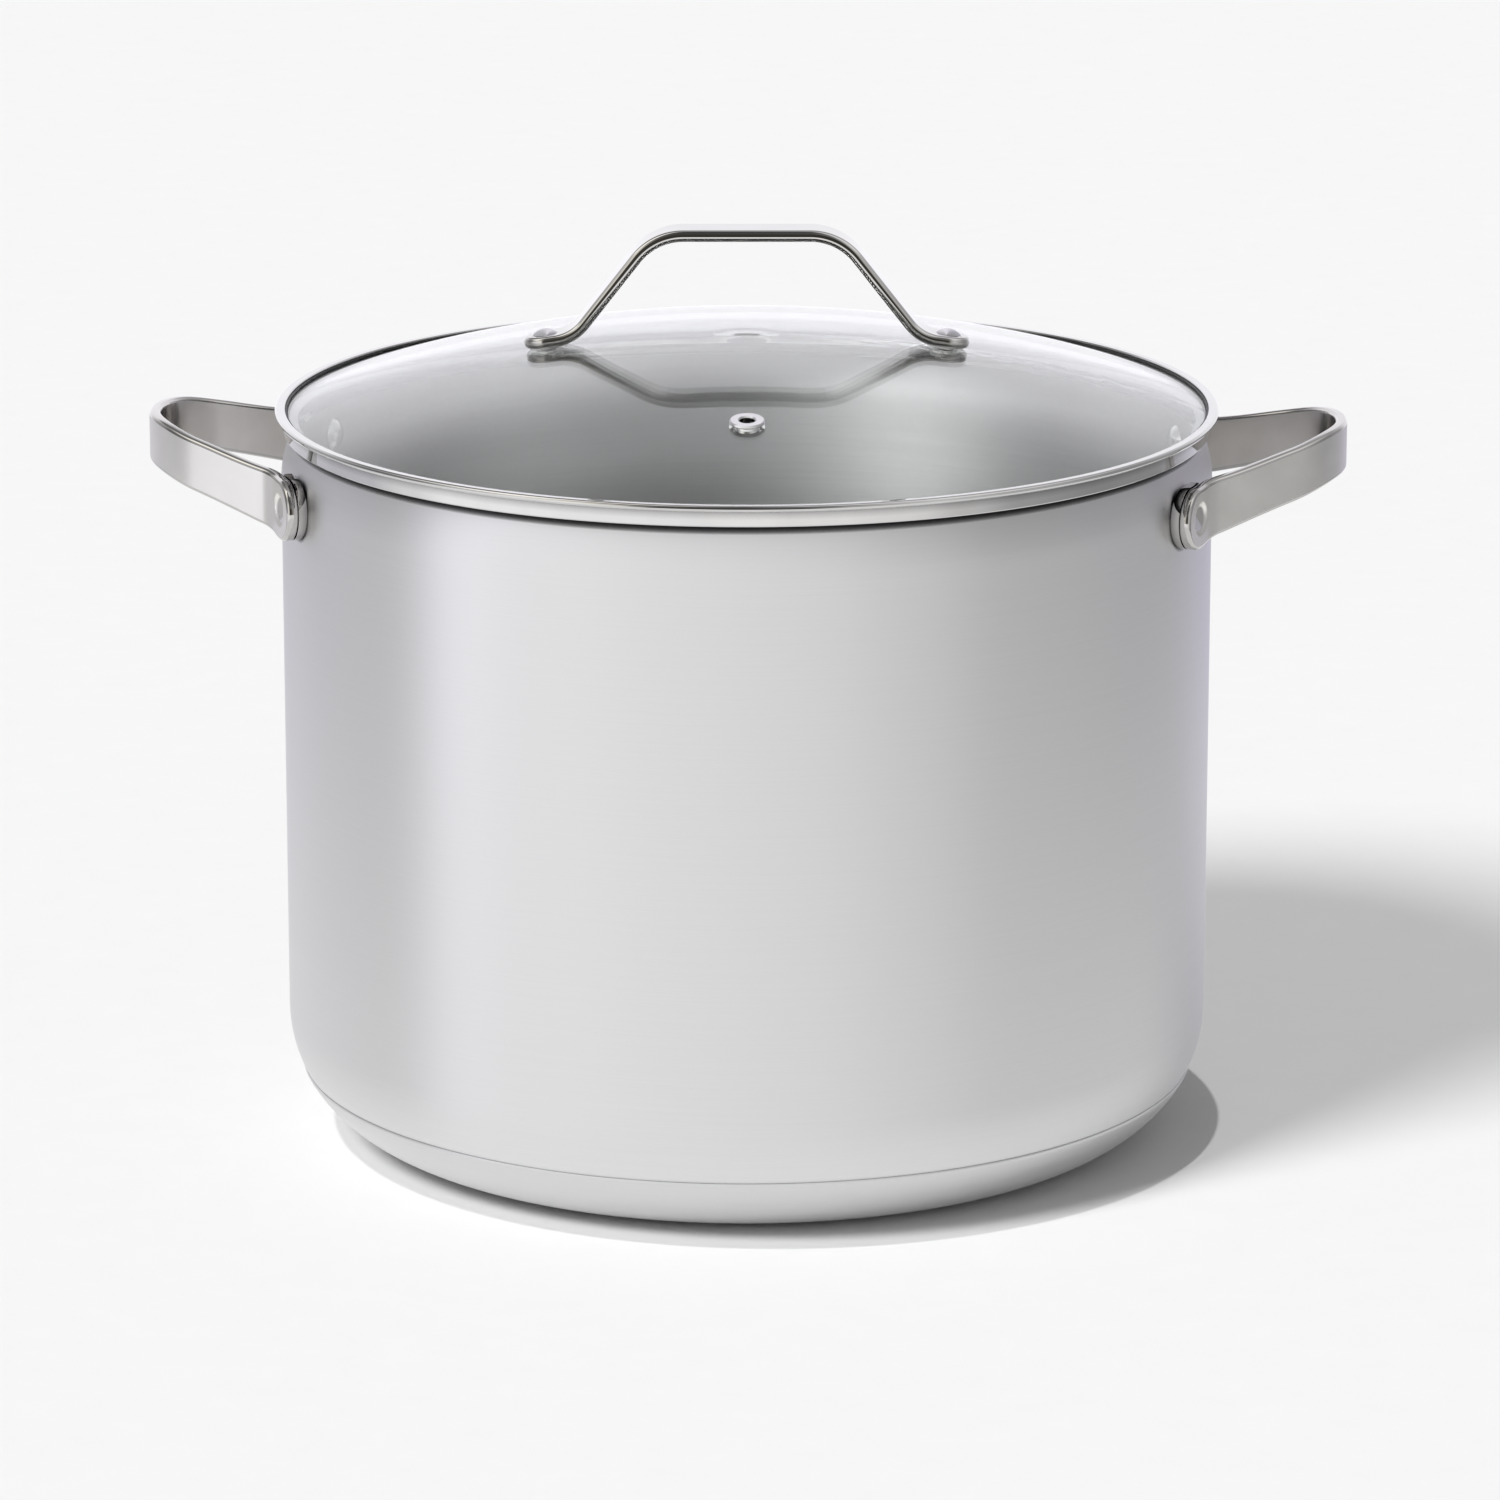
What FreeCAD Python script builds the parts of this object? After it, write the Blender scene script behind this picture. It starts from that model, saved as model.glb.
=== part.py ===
import FreeCAD, Part
import math
import os
import Sketcher
from FreeCAD import Placement, Rotation, Vector

# A water bath canner: a tall steel stock pot with two riveted loop handles, a domed glass lid with a
# steel rim, and a wire rack inside that keeps the jars off the floor of the pot.
# Millimetres. +Z is up, the origin is the centre of the base on the surface it stands on, and the
# two side handles lie along X.

os.makedirs("parts", exist_ok=True)
doc = FreeCAD.newDocument("water_bath_canner")

# Driving dimensions. Angles are in degrees.
DRIVING = {
    # pot
    "wall_radius": 148.0,
    "wall_sheet": 0.9,
    "corner_radius": 40.0,
    "core_angle": 60.0,
    "shoulder_start": 213.8,
    "shoulder_radius": 30.0,
    "shoulder_angle": 31.0,
    # layered base
    "cap_sheet": 0.5,
    "cap_angle": 27.0,
    "layer_gap": 0.05,
    # side handles
    "handle_azimuth": 21.3,
    "handle_height": 212.6,
    "plate_thick": 2.5,
    "strap_thick": 3.8,
    "tongue_radius": 9.7,
    "pad_bend": 9.7,
    "pad_bend_radius": 13.0,
    "grip_reach": 188.5,
    "grip_half": 20.0,
    "grip_bend_radius": 34.0,
    "grip_height": 225.5,
    "grip_tall": 15.8,
    "rivet_shank": 3.0,
    "rivet_head": 5.5,
    "rivet_dome": 2.2,
    "rivet_flush": 4.4,
    "rivet_sink": 1.6,
    "rivet_recess": 0.7,
    "rivet_seat": 0.4,
    # lid rim, glass and seal
    "band_radius": 147.3,
    "band_bottom": 229.6,
    "rim_sheet": 0.8,
    "skirt_radius": 142.3,
    "skirt_bottom": 224.6,
    "bead_radius": 149.8,
    "bead_top": 236.6,
    "bead_tall": 2.0,
    "glass_radius": 145.85,
    "glass_thick": 4.0,
    "glass_edge_top": 235.3,
    "glass_apex": 258.8,
    "seal_wall": 0.5,
    # steam vent in the glass
    "vent_reach": 91.5,
    "vent_hole": 2.4,
    "vent_barrel": 3.6,
    "vent_flange": 5.5,
    "vent_flange_tall": 0.9,
    "vent_washer_tall": 0.8,
    # lid handle
    "lid_turn": 2.6,
    "foot_reach": 63.3,
    "lid_strap_thick": 3.7,
    "lid_strap_wide": 14.0,
    "arch_top": 291.2,
    "arch_half": 29.3,
    "arch_lean": 38.0,
    "arch_top_bend": 19.0,
    "arch_foot_bend": 14.0,
    "gasket_tall": 0.6,
    "gasket_radius": 5.5,
    "screw_shank": 2.5,
    "screw_head": 4.1,
    "screw_dome": 1.6,
    "lid_washer_tall": 1.0,
    # jar rack
    "ring_wire": 2.5,
    "outer_ring": 120.0,
    "middle_ring": 78.0,
    "inner_ring": 36.0,
    "spoke_wire": 1.75,
    "foot_tall": 6.7,
    "foot_wire": 3.0,
    "bail_wire": 2.25,
    "bail_hinge": 110.0,
    "bail_end": 18.0,
    "bail_half": 45.0,
    "bail_bend": 12.0,
    "bail_elbow": 4.0,
    "eye_reach": 52.0,
    "eye_long": 6.0,
    "eye_radius": 3.9,
    # clearances
    "running_gap": 0.08,
    "seat_gap": 0.05,
}

dims = doc.addObject("Spreadsheet::Sheet", "Dims")
for row, (alias, value) in enumerate(DRIVING.items(), start=1):
    dims.set(f"A{row}", alias)
    dims.set(f"B{row}", str(value))
    dims.setAlias(f"B{row}", alias)
doc.recompute()


class Size:
    """A length or angle that carries both its value and the sheet expression that gives it."""

    def __init__(self, value, text):
        self.value = value
        self.text = text

    @staticmethod
    def of(thing):
        return thing if isinstance(thing, Size) else Size(float(thing), repr(float(thing)))

    def joined(self, sign, other, value):
        return Size(value, f"({self.text} {sign} {other.text})")

    def __add__(self, other):
        other = Size.of(other)
        return self.joined("+", other, self.value + other.value)

    def __sub__(self, other):
        other = Size.of(other)
        return self.joined("-", other, self.value - other.value)

    def __mul__(self, other):
        other = Size.of(other)
        return self.joined("*", other, self.value * other.value)

    def __truediv__(self, other):
        other = Size.of(other)
        return self.joined("/", other, self.value / other.value)

    def __neg__(self):
        return Size(-self.value, f"(0 - {self.text})")


def dim(alias):
    return Size(float(dims.get(alias)), f"Dims.{alias}")


def cosine(angle):
    return Size(math.cos(math.radians(angle.value)), f"cos({angle.text} * 1 deg)")


def sine(angle):
    return Size(math.sin(math.radians(angle.value)), f"sin({angle.text} * 1 deg)")


def root(square):
    return Size(math.sqrt(square.value), f"sqrt({square.text})")


ZERO = Size.of(0)


# Building blocks: bodies, sketches and features

def new_body(label):
    body = doc.addObject("PartDesign::Body", label)
    body.Label = label
    return body


def new_sketch(body, name, role):
    sketch = body.newObject("Sketcher::SketchObject", name)
    plane = [item for item in body.Origin.OriginFeatures if item.Role == role][0]
    sketch.AttachmentSupport = (plane, [""])
    sketch.MapMode = "FlatFace"
    return sketch


def bind(sketch, constraint, expression):
    sketch.setExpression(f"Constraints[{constraint}]", expression.text)


def pin_point(sketch, geometry, corner, x, y):
    """Fixes a point of the sketch at (x, y), on an axis where that coordinate is nought."""
    for kind, axis, coordinate in (("DistanceX", -2, x), ("DistanceY", -1, y)):
        if coordinate.value == 0:
            sketch.addConstraint(Sketcher.Constraint("PointOnObject", geometry, corner, axis))
        else:
            made = sketch.addConstraint(
                Sketcher.Constraint(kind, -1, 1, geometry, corner, coordinate.value))
            bind(sketch, made, coordinate)


def arc_between(start, end, radius, left):
    """The minor arc between two points, its centre on the left or right of the way along it."""
    along = end - start
    half = along.Length / 2
    side = Vector(-along.y, along.x, 0).normalize() * (1 if left else -1)
    centre = (start + end) / 2 + side * math.sqrt(max(radius ** 2 - half ** 2, 0))
    first, last = (start, end) if left else (end, start)
    angles = [math.atan2((p - centre).y, (p - centre).x) for p in (first, last)]
    return Part.ArcOfCircle(Part.Circle(centre, Vector(0, 0, 1), radius), *angles)


def draw_outline(sketch, corners, arcs=None):
    """A closed outline through corners. arcs gives the sides that are arcs: {side: (radius, left)}."""
    arcs = arcs or {}
    spots = [Vector(x.value, y.value, 0) for x, y in corners]
    ends = []
    for side, start in enumerate(spots):
        end = spots[(side + 1) % len(spots)]
        if side in arcs:
            radius, left = arcs[side]
            made = sketch.addGeometry(arc_between(start, end, radius.value, left))
            ends.append((made, 1, 2) if left else (made, 2, 1))
        else:
            ends.append((sketch.addGeometry(Part.LineSegment(start, end)), 1, 2))
    for side, (made, first, last) in enumerate(ends):
        following, entry, _ = ends[(side + 1) % len(ends)]
        sketch.addConstraint(Sketcher.Constraint("Coincident", made, last, following, entry))
        pin_point(sketch, made, first, *corners[side])
        if side in arcs:
            radius = arcs[side][0]
            bound = sketch.addConstraint(Sketcher.Constraint("Radius", made, radius.value))
            bind(sketch, bound, radius)


def draw_bent_path(sketch, corners, bends):
    """An open path of straight runs through corners, rounded at each inner corner by its bend."""
    spots = [Vector(x.value, y.value, 0) for x, y in corners]
    cut = [0.0]
    for index, bend in enumerate(bends, start=1):
        back = spots[index - 1] - spots[index]
        ahead = spots[index + 1] - spots[index]
        cut.append(bend.value / math.tan(back.getAngle(ahead) / 2))
    cut.append(0.0)
    runs = []
    for index in range(len(spots) - 1):
        way = (spots[index + 1] - spots[index]).normalize()
        start = spots[index] + way * cut[index]
        end = spots[index + 1] - way * cut[index + 1]
        runs.append((sketch.addGeometry(Part.LineSegment(start, end)), start, end))
    pin_point(sketch, runs[0][0], 1, *corners[0])
    pin_point(sketch, runs[-1][0], 2, *corners[-1])
    for index, bend in enumerate(bends):
        before, _, start = runs[index]
        after, end, _ = runs[index + 1]
        back = spots[index] - spots[index + 1]
        ahead = spots[index + 2] - spots[index + 1]
        left = (ahead.x * back.y - ahead.y * back.x) > 0
        made = sketch.addGeometry(arc_between(start, end, bend.value, left))
        entry, leave = (1, 2) if left else (2, 1)
        sketch.addConstraint(Sketcher.Constraint("Tangent", before, 2, made, entry))
        sketch.addConstraint(Sketcher.Constraint("Tangent", made, leave, after, 1))
        bound = sketch.addConstraint(Sketcher.Constraint("Radius", made, bend.value))
        bind(sketch, bound, bend)
        corner = sketch.addGeometry(Part.Point(spots[index + 1]), True)
        sketch.addConstraint(Sketcher.Constraint("PointOnObject", corner, 1, before))
        sketch.addConstraint(Sketcher.Constraint("PointOnObject", corner, 1, after))
        pin_point(sketch, corner, 1, *corners[index + 1])


def draw_circle(sketch, x, y, radius):
    circle = Part.Circle(Vector(x.value, y.value, 0), Vector(0, 0, 1), radius.value)
    made = sketch.addGeometry(circle)
    pin_point(sketch, made, 3, x, y)
    bound = sketch.addConstraint(Sketcher.Constraint("Radius", made, radius.value))
    bind(sketch, bound, radius)


def revolve(label, corners, arcs=None, axis="V_Axis"):
    """A body turned round Z (V_Axis) or X (H_Axis) from an outline in the XZ plane."""
    body = new_body(label)
    sketch = new_sketch(body, f"{label}_section", "XZ_Plane")
    draw_outline(sketch, corners, arcs)
    turned = body.newObject("PartDesign::Revolution", f"{label}_turned")
    turned.Profile = sketch
    turned.ReferenceAxis = (sketch, [axis])
    turned.Angle = 360
    sketch.Visibility = False
    body.Tip = turned
    return body


def pad(label, role, tall, corners=None, arcs=None, circle=None, midplane=False):
    """A body padded from an outline or a circle in one of its origin planes."""
    body = new_body(label)
    sketch = new_sketch(body, f"{label}_outline", role)
    if circle:
        draw_circle(sketch, *circle)
    else:
        draw_outline(sketch, corners, arcs)
    padded = body.newObject("PartDesign::Pad", f"{label}_pad")
    padded.Profile = sketch
    padded.Midplane = midplane
    padded.setExpression("Length", tall.text)
    body.Tip = padded
    return body


def boolean(kind, label, base, tool):
    result = doc.addObject(f"Part::{kind}", label)
    result.Label = label
    result.Base = base
    result.Tool = tool
    return result


def fuse_all(name, shapes):
    joined = doc.addObject("Part::MultiFuse", name)
    joined.Shapes = shapes
    return joined


def cylinder(name, radius, tall, placement=None):
    """A plain round bar that starts at its own origin and runs up its own Z."""
    bar = doc.addObject("Part::Cylinder", name)
    bar.setExpression("Radius", radius.text)
    bar.setExpression("Height", tall.text)
    if placement:
        bar.Placement = placement
    return bar


def turn(degrees, axis=Vector(0, 0, 1)):
    return Placement(Vector(), Rotation(axis, degrees))


def group(label, members):
    """One node of separate identical solids."""
    node = doc.addObject("Part::Compound", label)
    node.Label = label
    node.Links = members
    return node


# The pot

wall = dim("wall_radius")
sheet = dim("wall_sheet")
corner = dim("corner_radius")
gap = dim("layer_gap")
cap = dim("cap_sheet")
corner_at = wall - corner
corner_up = corner + gap + cap
core_cos, core_sin = cosine(dim("core_angle")), sine(dim("core_angle"))
shoulder = dim("shoulder_radius")
shoulder_at = wall - shoulder
shoulder_cos, shoulder_sin = cosine(dim("shoulder_angle")), sine(dim("shoulder_angle"))
floor_under = corner_up - corner * core_sin
floor_top = corner_up - (corner - sheet) * core_sin
plate_face = wall + dim("plate_thick")
strap_back = plate_face + gap
strap_face = strap_back + dim("strap_thick")


def rivet_placement(azimuth):
    """Turns a piece made along X to a rivet's azimuth and lifts it to the rivet's height."""
    return Placement(Vector(0, 0, dim("handle_height").value), Rotation(Vector(0, 0, 1), azimuth))


def rivet_azimuths(side):
    """The front and back rivets of the right (+X) or left (-X) handle."""
    lean = dim("handle_azimuth").value
    start = 0 if side == "right" else 180
    return {"front": start - lean if side == "right" else start + lean,
            "back": start + lean if side == "right" else start - lean}


def bar_along_x(name, radius, tall, azimuth):
    across = Placement(Vector(), Rotation(Vector(0, 1, 0), 90))
    return cylinder(name, radius, tall, rivet_placement(azimuth).multiply(across))


def make_pot_shell():
    """Drawn steel pot: flat floor, round corner, straight wall, and a shoulder drawn in to the mouth."""
    inner = wall - sheet
    body = revolve("pot_shell_turned", [
        (ZERO, floor_under),
        (corner_at + corner * core_cos, floor_under),
        (wall, corner_up),
        (wall, dim("shoulder_start")),
        (shoulder_at + shoulder * shoulder_cos, dim("shoulder_start") + shoulder * shoulder_sin),
        (shoulder_at + (shoulder - sheet) * shoulder_cos,
         dim("shoulder_start") + (shoulder - sheet) * shoulder_sin),
        (inner, dim("shoulder_start")),
        (inner, corner_up),
        (corner_at + (corner - sheet) * core_cos, floor_top),
        (ZERO, floor_top),
    ], {1: (corner, True), 3: (shoulder, True), 5: (shoulder - sheet, False), 7: (corner - sheet, False)})
    holes = []
    for side in ("right", "left"):
        for end, azimuth in rivet_azimuths(side).items():
            holes.append(bar_along_x(f"shell_hole_{side}_{end}", dim("rivet_shank") + gap,
                                     plate_face, azimuth))
    return boolean("Cut", "pot_shell", body, fuse_all("shell_holes", holes))


def make_base():
    """Aluminium disc that spreads the heat, and the steel cap that closes it in."""
    core_top = floor_under - gap
    cap_cos, cap_sin = cosine(dim("cap_angle")), sine(dim("cap_angle"))
    disc_sin = (corner_up - core_top) / corner
    disc_cos = root(Size.of(1) - disc_sin * disc_sin)
    core = revolve("base_core", [
        (ZERO, cap + gap),
        (corner_at, cap + gap),
        (corner_at + corner * disc_cos, core_top),
        (ZERO, core_top),
    ], {1: (corner, True)})
    inside, outside = corner + gap, corner + gap + cap
    lid_cap = revolve("base_cap", [
        (ZERO, ZERO),
        (corner_at, ZERO),
        (corner_at + outside * cap_cos, corner_up - outside * cap_sin),
        (corner_at + inside * cap_cos, corner_up - inside * cap_sin),
        (corner_at, cap),
        (ZERO, cap),
    ], {1: (outside, True), 3: (inside, False)})
    return [core, lid_cap]


# Side handles

def strap_plan():
    """The side handle's centre line seen from above, from one tongue round the grip to the other."""
    middle = strap_back + dim("strap_thick") / 2
    pad_cos, pad_sin = cosine(dim("handle_azimuth")), sine(dim("handle_azimuth"))
    tip = -dim("tongue_radius") - 2
    corners = []
    for along in (tip, dim("pad_bend")):
        corners.append((middle * pad_cos + along * pad_sin, middle * pad_sin - along * pad_cos))
    corners.append((dim("grip_reach"), dim("grip_half")))
    corners += [(x, -y) for x, y in reversed(corners)]
    return corners


def make_strap_band(label):
    """The strap bent to its plan shape and left too tall, ready to be trimmed to its side view."""
    spare = dim("tongue_radius") * 6
    body = new_body(label)
    path = new_sketch(body, f"{label}_path", "XY_Plane")
    grip, knuckle = dim("grip_bend_radius"), dim("pad_bend_radius")
    halves = strap_plan()
    draw_bent_path(path, [(halves[3][0], ZERO)] + halves[3:], [grip, knuckle])
    section = new_sketch(body, f"{label}_section", "XZ_Plane")
    near = dim("grip_reach") - dim("strap_thick") / 2
    far = dim("grip_reach") + dim("strap_thick") / 2
    low, high = dim("handle_height") - spare / 2, dim("handle_height") + spare / 2
    draw_outline(section, [(near, low), (far, low), (far, high), (near, high)])
    pipe = body.newObject("PartDesign::AdditivePipe", f"{label}_pipe")
    pipe.Profile = section
    pipe.Spine = (path, [])
    body.Tip = pipe
    doc.recompute()
    mirror = body.newObject("PartDesign::Mirrored", f"{label}_mirrored")
    mirror.Originals = [pipe]
    plane = [item for item in body.Origin.OriginFeatures if item.Role == "XZ_Plane"][0]
    mirror.MirrorPlane = (plane, [""])
    body.Tip = mirror
    return body


def make_strap_side(label):
    """The strap's outline seen along X: rounded tongues, legs that climb, and a level grip."""
    tongue = dim("tongue_radius")
    middle = strap_back + dim("strap_thick") / 2
    pad_cos, pad_sin = cosine(dim("handle_azimuth")), sine(dim("handle_azimuth"))
    rivet_y = middle * pad_sin
    bend_y = rivet_y - dim("pad_bend") * pad_cos
    bend_rise, bend_taper = Size.of(0.7), Size.of(0.3)
    low, high = dim("handle_height"), dim("grip_height")
    half = dim("grip_tall") / 2
    right = [
        (dim("grip_half"), high - half),
        (bend_y, low - tongue + bend_rise + bend_taper),
        (rivet_y, low - tongue),
        (rivet_y + tongue, low),
        (rivet_y, low + tongue),
        (bend_y, low + tongue + bend_rise - bend_taper),
        (dim("grip_half"), high + half),
    ]
    left = [(-y, z) for y, z in reversed(right)]
    return pad(label, "YZ_Plane", dim("grip_reach") * 2, right + left,
               {side: (tongue, True) for side in (2, 3, 9, 10)})


def make_side_handle(side):
    """One bent strap loop with a countersunk rivet hole in each tongue."""
    label = f"side_handle_{side}"
    strap = boolean("Common", f"{label}_strap", make_strap_band(f"{label}_band"),
                    make_strap_side(f"{label}_side"))
    holes = []
    for end, azimuth in rivet_azimuths("right").items():
        holes.append(bar_along_x(f"{label}_hole_{end}", dim("rivet_shank") + gap,
                                 strap_face + 1, azimuth))
        sink = revolve(f"{label}_sink_{end}", [
            (strap_face - dim("rivet_sink"), ZERO),
            (strap_face - dim("rivet_sink"), dim("rivet_shank") + gap),
            (strap_face, dim("rivet_flush") + gap),
            (strap_face + 1, dim("rivet_flush") + gap),
            (strap_face + 1, ZERO),
        ], axis="H_Axis")
        sink.Placement = rivet_placement(azimuth)
        holes.append(sink)
    handle = boolean("Cut", label, strap, fuse_all(f"{label}_holes", holes))
    handle.Placement = turn(0 if side == "right" else 180)
    return handle


def make_handle_plate(side, end, azimuth):
    """Spacer between the curved wall and the flat tongue of the strap, shaped like the tongue."""
    label = f"handle_plate_{side}_{end}"
    tongue = dim("tongue_radius")
    outward = -1 if (end == "front") == (side == "right") else 1
    inner = Size.of(-outward) * (tongue - 2)
    corners = [(ZERO, -tongue), (tongue * Size.of(outward), ZERO), (ZERO, tongue),
               (inner, tongue), (inner, -tongue)]
    round_off = (tongue, outward > 0)
    body = pad(f"{label}_blank", "YZ_Plane", plate_face, corners, {0: round_off, 1: round_off})
    body.Placement = rivet_placement(azimuth)
    drum = cylinder(f"{label}_drum", wall + gap, dim("grip_height") * 2)
    hole = bar_along_x(f"{label}_hole", dim("rivet_shank") + gap, plate_face + 1, azimuth)
    return boolean("Cut", label, body, fuse_all(f"{label}_tools", [drum, hole]))


def make_handle_rivet(side, end, azimuth):
    """Steel rivet: a low dome inside the pot and a flush countersunk head in the strap."""
    shank, head, dome = dim("rivet_shank"), dim("rivet_head"), dim("rivet_dome")
    seat = wall - sheet - dim("rivet_seat")
    sink, recess = dim("rivet_sink"), dim("rivet_recess")
    face = strap_face - recess
    flush = shank + (dim("rivet_flush") - shank) * (sink - recess) / sink
    crown = (head * head + dome * dome) / (dome * 2)
    body = revolve(f"handle_rivet_{side}_{end}", [
        (seat - dome, ZERO),
        (seat, head),
        (seat, shank),
        (strap_face - sink, shank),
        (face, flush - gap),
        (face, ZERO),
    ], {0: (crown, False)}, axis="H_Axis")
    body.Placement = rivet_placement(azimuth)
    return body


# The lid

apex, edge_top = dim("glass_apex"), dim("glass_edge_top")
glass_edge = dim("glass_radius")
dome_rise = apex - edge_top
dome_radius = (glass_edge * glass_edge + dome_rise * dome_rise) / (dome_rise * 2)
dome_centre = apex - dome_radius
under_radius = dome_radius - dim("glass_thick")


def on_dome(reach, azimuth):
    """Placement whose origin is on top of the glass at that reach, with its Z straight out of it."""
    lean = math.degrees(math.asin(reach.value / dome_radius.value))
    tilt = Rotation(Vector(0, 1, 0), lean)
    up = Vector(0, 0, dome_radius.value)
    there = Rotation(Vector(0, 0, 1), azimuth + dim("lid_turn").value).multiply(tilt)
    return Placement(Vector(0, 0, dome_centre.value) + there.multVec(up), there)


LID_SIDES = {"right": 0, "left": 180}
VENT_AZIMUTH = -90


def make_lid_glass():
    """Domed tempered glass with holes for the two handle rivets and the vent."""
    edge_under = dome_centre + root(under_radius * under_radius - glass_edge * glass_edge)
    body = revolve("lid_glass_dome", [
        (ZERO, apex - dim("glass_thick")),
        (glass_edge, edge_under),
        (glass_edge, edge_top),
        (ZERO, apex),
    ], {0: (under_radius, False), 2: (dome_radius, True)})
    drill = dim("glass_thick") * 4
    down = Placement(Vector(0, 0, -drill.value / 2), Rotation())
    holes = []
    for side, azimuth in LID_SIDES.items():
        holes.append(cylinder(f"glass_hole_{side}", dim("screw_shank") + 0.6, drill,
                              on_dome(dim("foot_reach"), azimuth).multiply(down)))
    holes.append(cylinder("glass_hole_vent", dim("vent_barrel") + 0.3, drill,
                          on_dome(dim("vent_reach"), VENT_AZIMUTH).multiply(down)))
    return boolean("Cut", "lid_glass", body, fuse_all("glass_holes", holes))


def make_lid_rim():
    """Roll-formed steel rim: locating skirt, ledge, outer band and a rounded bead on top."""
    rim_sheet, band, bead = dim("rim_sheet"), dim("band_radius"), dim("bead_radius")
    bottom, top, tall = dim("band_bottom"), dim("bead_top"), dim("bead_tall")
    skirt = dim("skirt_radius")
    round_off = tall / 2
    inside = band - rim_sheet
    return revolve("lid_rim", [
        (skirt - rim_sheet, dim("skirt_bottom")),
        (skirt, dim("skirt_bottom")),
        (skirt, bottom),
        (band, bottom),
        (band, top - tall),
        (bead - round_off, top - tall),
        (bead, top - round_off),
        (bead - round_off, top),
        (inside + rim_sheet / 2, top),
        (inside, top - rim_sheet / 2),
        (inside, bottom + rim_sheet),
        (skirt - rim_sheet, bottom + rim_sheet),
    ], {5: (round_off, True), 6: (round_off, True), 8: (rim_sheet / 2, True)})


def make_lid_seal():
    """Dark silicone ring that beds the edge of the glass in the rim."""
    outer = dim("band_radius") - dim("rim_sheet") - gap
    inner = glass_edge + gap
    low = dim("band_bottom") + dim("rim_sheet") + gap
    ledge = Size.of(1.4)
    return revolve("lid_seal", [
        (inner - ledge, low),
        (outer, low),
        (outer, edge_top + gap * 10),
        (inner, edge_top + gap * 10),
        (inner, low + dim("seal_wall")),
        (inner - ledge, low + dim("seal_wall")),
    ])


def make_vent():
    """Steel eyelet through the glass, spread below over a thin washer."""
    hole, barrel, flange = dim("vent_hole"), dim("vent_barrel"), dim("vent_flange")
    seat = dim("seat_gap")
    under = dim("glass_thick") + seat
    washer = dim("vent_washer_tall")
    round_off = dim("vent_flange_tall") / 2
    spread = Size.of(0.6)
    eyelet = revolve("vent_eyelet", [
        (hole, -(under + washer + seat + spread)),
        (barrel + 1.2, -(under + washer + seat + spread)),
        (barrel + 1.2, -(under + washer + seat)),
        (barrel, -(under + washer + seat)),
        (barrel, seat),
        (flange, seat),
        (flange - round_off, seat + dim("vent_flange_tall")),
        (hole + round_off, seat + dim("vent_flange_tall")),
        (hole, seat + dim("vent_flange_tall") - round_off),
    ], {5: (dim("vent_flange_tall"), True)})
    ring = revolve("vent_washer", [
        (barrel + seat, -(under + washer)),
        (flange, -(under + washer)),
        (flange, -under),
        (barrel + seat, -under),
    ])
    for piece in (eyelet, ring):
        piece.Placement = on_dome(dim("vent_reach"), VENT_AZIMUTH)
    return [eyelet, ring]


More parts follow.
